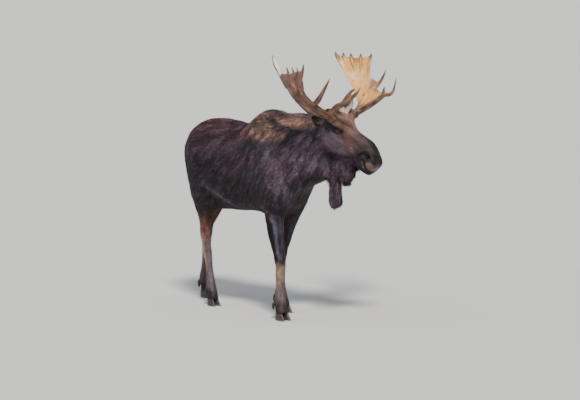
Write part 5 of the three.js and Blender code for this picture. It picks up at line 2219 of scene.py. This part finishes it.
    def colours(self, points: Array, normals: Array, ridges: Array, tine: Array) -> Array:
        """The stain of the antler: red brown outside, golden inside the palm, pale at the tips, with painted
        highlights on the brow branch and the first tine.

        Args:
            points: places in the body's frame.
            normals: outward directions there.
            ridges: the pattern of ridges and grooves.
            tine: the number of the tine that each place belongs to, below 0 for beam and palm.

        Returns:
            One colour for each place.
        """
        away = points - self.place(0, 0, 0)
        up = away[:, 2]
        facing, tip = normals @ self.inward, self.tip_share(points)
        palm = (step(up, 0.09, 0.20) if self.side < 0 else step(up, 0.02, 0.09)) * (tine <= TOP_TINES)
        rib = (tine >= 0) & (tine < TOP_TINES) & (tip < 0.15)
        inner = step(facing, 0.20, 0.70)
        inner = np.where(rib, np.maximum(inner, step(facing, -0.35, 0.10)), inner)
        inside = inner * palm * np.where(tine < 0, 1.0, step(tip, 0.75, 0.15))
        weathered = step(noise(points / [0.05, 0.05, 0.12], 13), 0.35, 0.65)
        cream = step(noise(points / 0.07, 12), 0.30, 0.70) * step(up, 0.12, 0.36)
        layers = [(ANTLER_DARK, 0.75 * step(noise(points / 0.045, 11), 0.35, 0.75)),
                  (ANTLER_GREY, 0.50 * weathered * step(up, 0.05, 0.22)),
                  (mix(ANTLER_GOLD, ANTLER_CREAM, cream), inside * (0.97 if self.side > 0 else 0.55))]
        if self.webs:
            # Greyer over the upper front of the palm.
            greyer_front = step(away @ HEAD.forward, -0.045, 0.000) * step(up, 0.145, 0.185) * palm
            layers.append((ANTLER_GREY, 0.80 * greyer_front * (tine != TOP_TINES)))
        layers += [(ANTLER_TAN, 0.60 * step(tip, 0.80, 1.0)),
                   (ANTLER_TAN, 0.45 * step(ridges, 0.10, 0.45) * (1 - 0.6 * inside)),
                   (ANTLER_DARK, 0.60 * step(ridges, -0.10, -0.45) * (1 - 0.75 * inside)),
                   # Painted highlight on the upward faces of the front tine and the brow branch.
                   (ANTLER_TAN, 0.55 * (step(normals[:, 2], 0.45, 0.85) * (tine >= TOP_TINES)))]
        if self.side < 0:
            # The first tine's pale ivory: partly its own rubbed ivory, partly a painted highlight, as only
            # its side facing forward and out gets it.
            ivory_face = (tine == 0) * step(tip, 0.05, 0.20) * step(tip, 0.95, 0.80)
            lit = step(normals @ self.direction(0.85, 0.5, 0.0), 0.30, 0.60)
            layers.append((ANTLER_IVORY, 0.95 * ivory_face * lit))
        burr = step(lengths(points - self.place(-1, 168, -16)), 0.070, 0.045)
        return layered(ANTLER_RED, *layers, (ANTLER_DARK, 0.5 * burr))


# ---- Eyes ---------------------------------------------------------------------------------------
EYE_DARK = tint(0.085, 0.06, 0.058)
IRIS = tint(0.13, 0.08, 0.075)
IRIS_MIDDLE = tint(0.12, 0.07, 0.05)
PUPIL = tint(0.012, 0.01, 0.012)
EYE_BACK = tint(0.3, 0.2, 0.19)


@dataclass
class Eyeball:
    """An eye with a bulging cornea, a dark iris and a level oval pupil."""

    place: EyePlace
    sides: int = 56
    rings: int = 40
    iris: float = 0.0125
    bulge: float = 0.0020

    def build(self, material: Material) -> None:
        """Makes the eye.

        Args:
            material: its finish.
        """
        out, line = self.place.outward, self.place.corner_line
        rise = np.cross(out, line)
        down = np.linspace(0.012, math.pi - 0.012, self.rings)
        turn = turns(self.sides)
        radius = self.place.radius + self.bulge * np.exp(-((down / 0.52) ** 4))
        ring = line * np.cos(turn)[:, None] + rise * np.sin(turn)[:, None]
        rings = ring[None] * (radius * np.sin(down))[:, None, None]
        shape = lofted(self.place.centre + (rings + out * (radius * np.cos(down))[:, None, None]))
        name = "right" if self.place.side < 0 else "left"
        piece = make_object(f"eye_ball_{name}", shape)
        across, up, depth = self.place.local(shape.points)
        reach = np.hypot(across, up)
        pupil = np.hypot(across / 0.0072, up / 0.0036)
        colour = layered(EYE_DARK, (IRIS, step(reach, self.iris, self.iris * 0.85)),
                         (IRIS_MIDDLE, step(reach, 0.0075, 0.0055)), (PUPIL, step(pupil, 1.10, 0.88)))
        paint(piece, COLOUR, np.where(depth[:, None] > 0, colour, EYE_BACK))
        angle = np.arctan2(up, across)
        store(piece, LAY, np.stack([np.cos(angle), np.sin(angle), reach * 25], 1))
        settle(piece, material, [f"eye_{name}"])


# ---- Hooves -------------------------------------------------------------------------------------
HORN = tint(0.200, 0.170, 0.165)
HORN_DUST = tint(0.420, 0.370, 0.330)


@dataclass
class Hoof:
    """One toe's hoof: a pointed sole, a sloping ringed wall and a rounded heel."""

    limb: str
    toe: str
    sides: int = 44
    rings: int = 22
    length: float = 2.16
    width: float = 0.94
    forward: float = 0.24
    apart: float = 0.52
    lean: float = 0.34
    top: float = 0.66
    point: float = 0.42
    heel_fall: float = 0.16
    height: float = 0.0597

    def read(self) -> tuple[Array, float, float, float]:
        """The middle of the ankle, its half length and half width, and the toe's side, from the solids.

        Returns:
            The middle, the two half sizes, and -1 or 1 for the side.
        """
        heels = {}
        for toe in TOES:
            points = solid(f"hoof_{self.limb}_{toe}").points
            sole = points[points[:, 2] < 0.002]
            heels[toe] = sole[sole[:, 0].argmin()]
            if toe == self.toe:
                extent = sole[:, 0].min(), sole[:, 0].max()
        middle = (heels["inner"][1] + heels["outer"][1]) / 2
        fore_half = (extent[1] - extent[0]) / self.length
        side_half = abs(heels["inner"][1] - heels["outer"][1]) / 2 / self.apart
        ankle = np.array([(extent[0] + extent[1]) / 2 - self.forward * fore_half, middle, 0.0])
        return ankle, fore_half, side_half, float(np.sign(heels[self.toe][1] - middle))

    def build(self, material: Material) -> None:
        """Makes the hoof.

        Args:
            material: its finish.
        """
        ankle, fore_half, side_half, side = self.read()
        level = np.concatenate([[0.0, 0.012, 0.03], np.linspace(0.07, 1.0, self.rings)])[:, None]
        turn = turns(self.sides)[None]
        fore = np.cos(turn)
        tuck = 1 - 0.05 * np.exp(-level / 0.012) + 0.006 * np.sin(level * 46) * step(level, 0.05, 0.2)
        swell = 1 + 0.035 * bell_curve(level - 0.93, 0.07)
        half_length = fore_half * self.length * (1 + (self.top - 1) * level) / 2 * tuck * swell
        x = fore_half * (self.forward - level * self.lean) + fore * half_length
        narrow = (1 - self.point * np.maximum(fore, 0) ** 1.6) * (1 - 0.1 * level) * tuck * swell
        splay = side * (side_half * self.apart + (fore + 1) * fore_half * 0.05)
        hollow = 1 - 0.10 * step(fore * np.ones_like(level), -0.75, -1.0)
        y = splay + np.sin(turn) * side_half * self.width * narrow * hollow / 2
        z = level * self.height * (1 - self.heel_fall * level * np.maximum(-fore, 0))
        shape = lofted(ankle + np.stack(np.broadcast_arrays(x, y, z), 2))
        piece = make_object(f"hoof_shell_{self.limb}_{self.toe}", shape)
        dust = step(shape.points[:, 2], 0.020, 0.0) * (0.3 + 0.7 * noise(shape.points / 0.012, 31))
        paint(piece, COLOUR, mix(HORN, HORN_DUST, 0.8 * dust))
        settle(piece, material, [f"hoof_{self.limb}_{self.toe}"])


@dataclass
class Dewclaw:
    """A small claw behind the pastern."""

    limb: str
    toe: str

    def build(self, material: Material) -> None:
        """Makes the claw.

        Args:
            material: its finish.
        """
        name = f"dewclaw_{self.limb}_{self.toe}"
        points = solid(name).points
        order = points[:, 2].argsort()
        tip = points[order[:3]].mean(axis=0) + [0.007, 0, 0.002]
        top = points[order[-3:]].mean(axis=0) + [0.006, 0, -0.004]
        stops = [[*top, 0.0105], [*(top * 0.55 + tip * 0.45 - [0.002, 0, 0]), 0.0120],
                 [*(top * 0.2 + tip * 0.8 - [0.001, 0, 0]), 0.0085], [*tip, 0.0035]]
        shape = rod(np.array(stops), 20, 18)
        piece = make_object(f"claw_{self.limb}_{self.toe}", shape)
        paint(piece, COLOUR, np.broadcast_to(HORN, shape.points.shape))
        settle(piece, material, [name])


# ---- Coat's pieces ------------------------------------------------------------------------------
@dataclass
class Coat:
    """All the hair over the skin."""

    body: Body
    skin: Skin

    def labels(self, points: Array) -> Array:
        """The region of each place, as a number.

        Args:
            points: places in the body's frame.

        Returns:
            One number for each place.
        """
        x, y, z = points.T
        behind, low = x < SHOULDER, z < FLANK_FOOT
        label = np.where(y < 0, Region.FLANK_RIGHT.value, Region.FLANK_LEFT.value)
        label[low] = Region.BELLY.value
        label[(z > FLANK_TOP) & behind | (x < RUMP) & (z > 0.98)] = Region.BACK.value
        label[(self.body.neck(points) > 0.5) | (z > FLANK_TOP) & ~behind] = Region.NECK.value
        for name, leg in self.body.legs.items():
            number = Region.FORELEGS if name.startswith("fore") else Region.HINDLEGS
            label[(leg.membership(points) > 0.5) & low] = number.value
        label[self.body.head(points) > 0.5] = Region.HEAD.value
        label[self.body.ear(points) > 0.3] = Region.HEAD.value
        label[self.body.bell(points) > 0.5] = Region.BELL.value
        return label

    def density(self, points: Array) -> Array:
        """How closely roots are set, against the rest of their region.

        Args:
            points: places on the skin.

        Returns:
            One density for each place.
        """
        face = HEAD.face(points)
        head = self.body.head(points)
        muzzle = head * step(face[:, 0], 0.24, 0.32)
        lids = np.ones(len(points))
        for eye in EYES:
            across, rise, out = eye.local(points)
            bare = step(np.hypot(across / 0.0205, (rise + 0.0005) / 0.0118), 0.92, 1.08)
            lids = np.minimum(lids, np.where((out > 0) & (np.hypot(across, rise) < 0.04), bare, 1.0))
        nostril = np.hypot((face[:, 0] - 0.352) / 0.030, (face[:, 2] - 0.014) / 0.020)
        close = np.min([lengths(points - eye.centre) for eye in EYES], axis=0) < 0.030
        dense = (1 + 2.5 * (lids > 0.5) * close) * (1 + 1.2 * muzzle + 0.8 * self.body.ear(points))
        return dense * np.where(head > 0.5, lids, 1.0) * np.where(head > 0.5, step(nostril, 0.75, 1.1), 1.0)

    def build(self, markings: Markings, finish: Material, under: Material) -> None:
        """Makes the skin's piece and every piece of hair.

        Args:
            markings: the colours of the coat.
            finish: the hair's material.
            under: the skin's material.
        """
        shape = self.skin.shape
        lines = Lines.trace(shape, Lie(self.body), markings, Atlas(self.body))
        piece = make_object("skin", shape)
        paint(piece, COLOUR, lines.colour * 0.85)
        store(piece, LAY, lines.lay)
        unwrap(piece, shape.faces, lines.atlas)
        settle(piece, under, [*FLESHY, "ear_right", "ear_left"])
        label, dense = self.labels(shape.centres()), self.density(shape.centres())
        growths = [
            Growth(Region.FLANK_RIGHT, 63000), Growth(Region.FLANK_LEFT, 63000),
            Growth(Region.BELLY, 33000), Growth(Region.BACK, 60000, frost_and_glint=0.24),
            Growth(Region.NECK, 63000, width=0.0044, frost_and_glint=0.24),
            Growth(Region.FORELEGS, 48000, wild=0.14, frost_and_glint=0.06),
            Growth(Region.HINDLEGS, 48000, wild=0.14, frost_and_glint=0.06),
            Growth(Region.HEAD, 64000, wild=0.16, frost_and_glint=0.05, contrast=0.6, lock=0.008),
            Growth(Region.BELL, 22000, runs=3, width=0.0040, wild=0.10, longer=1.05)]
        for growth in growths:
            chosen = np.where(label == growth.region.value, dense, 0.0)
            tufts, colours, maps = growth.grow(shape, chosen, lines)
            piece = make_object(f"coat_{growth.region.name.lower()}", tufts)
            paint(piece, COLOUR, colours)
            unwrap(piece, tufts.faces, maps)
            settle(piece, finish)


# ---- Studio -------------------------------------------------------------------------------------
def bearing(azimuth: float, elevation: float) -> Vector:
    """The direction from the animal toward a camera or a light, from two angles in degrees."""
    turn, tilt = math.radians(azimuth), math.radians(elevation)
    return Vector((math.sin(turn) * math.cos(tilt), -math.cos(turn) * math.cos(tilt), math.sin(tilt)))


@dataclass(frozen=True)
class Studio:
    """A plain pale floor, soft light and the camera."""

    target: tuple[float, float, float] = (-0.2769, 0.366, 0.923)
    azimuth: float = 50.0
    elevation: float = 8.0
    width: float = 5.0
    lens: float = 400.0
    sensor: float = 36.0

    def build(self) -> None:
        """Makes floor, light, world and camera."""
        self.floor()
        self.sun("key_light", 54.0, 48.0, 4.6, 10.0, (1.0, 0.965, 0.91))
        self.sun("fill_light", -35.0, 30.0, 0.7, 60.0, (0.86, 0.92, 1.0))
        world = bpy.data.worlds.new("studio")
        bpy.context.scene.world = world
        world.use_nodes = True
        sky = world.node_tree.nodes["Background"]
        sky.inputs["Color"].default_value = (0.88, 0.93, 1.0, 1.0)
        sky.inputs["Strength"].default_value = 0.55
        self.camera()

    @staticmethod
    def floor() -> None:
        """A floor wide enough to fill the picture."""
        sheet = bmesh.new()
        bmesh.ops.create_circle(sheet, cap_ends=True, radius=150.0, segments=96)
        mesh = bpy.data.meshes.new("floor")
        sheet.to_mesh(mesh)
        sheet.free()
        floor = bpy.data.objects.new("floor", mesh)
        bpy.context.scene.collection.objects.link(floor)
        mesh.materials.append(FloorFinish().make())

    @staticmethod
    def sun(name: str, azimuth: float, elevation: float, power: float, spread: float,
            colour: tuple[float, float, float]) -> None:
        """A distant soft light.

        Args:
            name: its name.
            azimuth: which side it shines from, in degrees as for the camera.
            elevation: how high it stands, in degrees.
            power: its strength.
            spread: its angle in degrees, larger for softer shadows.
            colour: its colour.
        """
        lamp = bpy.data.lights.new(name, "SUN")
        lamp.energy, lamp.angle, lamp.color = power, math.radians(spread), colour
        piece = bpy.data.objects.new(name, lamp)
        piece.rotation_euler = bearing(azimuth, elevation).to_track_quat("Z", "Y").to_euler()
        bpy.context.scene.collection.objects.link(piece)

    def camera(self) -> None:
        """The camera, level with the animal and far enough that lines stay nearly parallel."""
        away = bearing(self.azimuth, self.elevation)
        view = bpy.data.cameras.new("camera")
        view.lens, view.sensor_width = self.lens, self.sensor
        distance = self.width * self.lens / self.sensor
        view.clip_start, view.clip_end = 1.0, distance + 400.0
        piece = bpy.data.objects.new("camera", view)
        piece.location = Vector(self.target) + away * distance
        piece.rotation_euler = away.to_track_quat("Z", "Y").to_euler()
        bpy.context.scene.collection.objects.link(piece)
        bpy.context.scene.camera = piece


def main() -> None:
    """Builds the animal and its studio in order."""
    logging.basicConfig(level=logging.INFO, format="%(name)s: %(message)s")
    body = Body()
    skin = Skin(body)
    skin.build()
    log.info("skin shaped")
    Coat(body, skin).build(Markings(body), CoatFinish("coat_hair").make(),
                           CoatFinish("coat_under", bump=0.0016, combed=True).make())
    antler = AntlerFinish().make()
    Antler("right", -1, RIGHT_PALM, [], RIGHT_TINES).build(antler)
    Antler("left", 1, LEFT_PALM, LEFT_WEBS, LEFT_TINES).build(antler)
    eye = EyeFinish().make()
    for place in EYES:
        Eyeball(place).build(eye)
    horn = HoofFinish().make()
    for limb in LEGS:
        for toe in TOES:
            Hoof(limb, toe).build(horn)
            Dewclaw(limb, toe).build(horn)
    Studio().build()


if __name__ == "__main__":
    main()
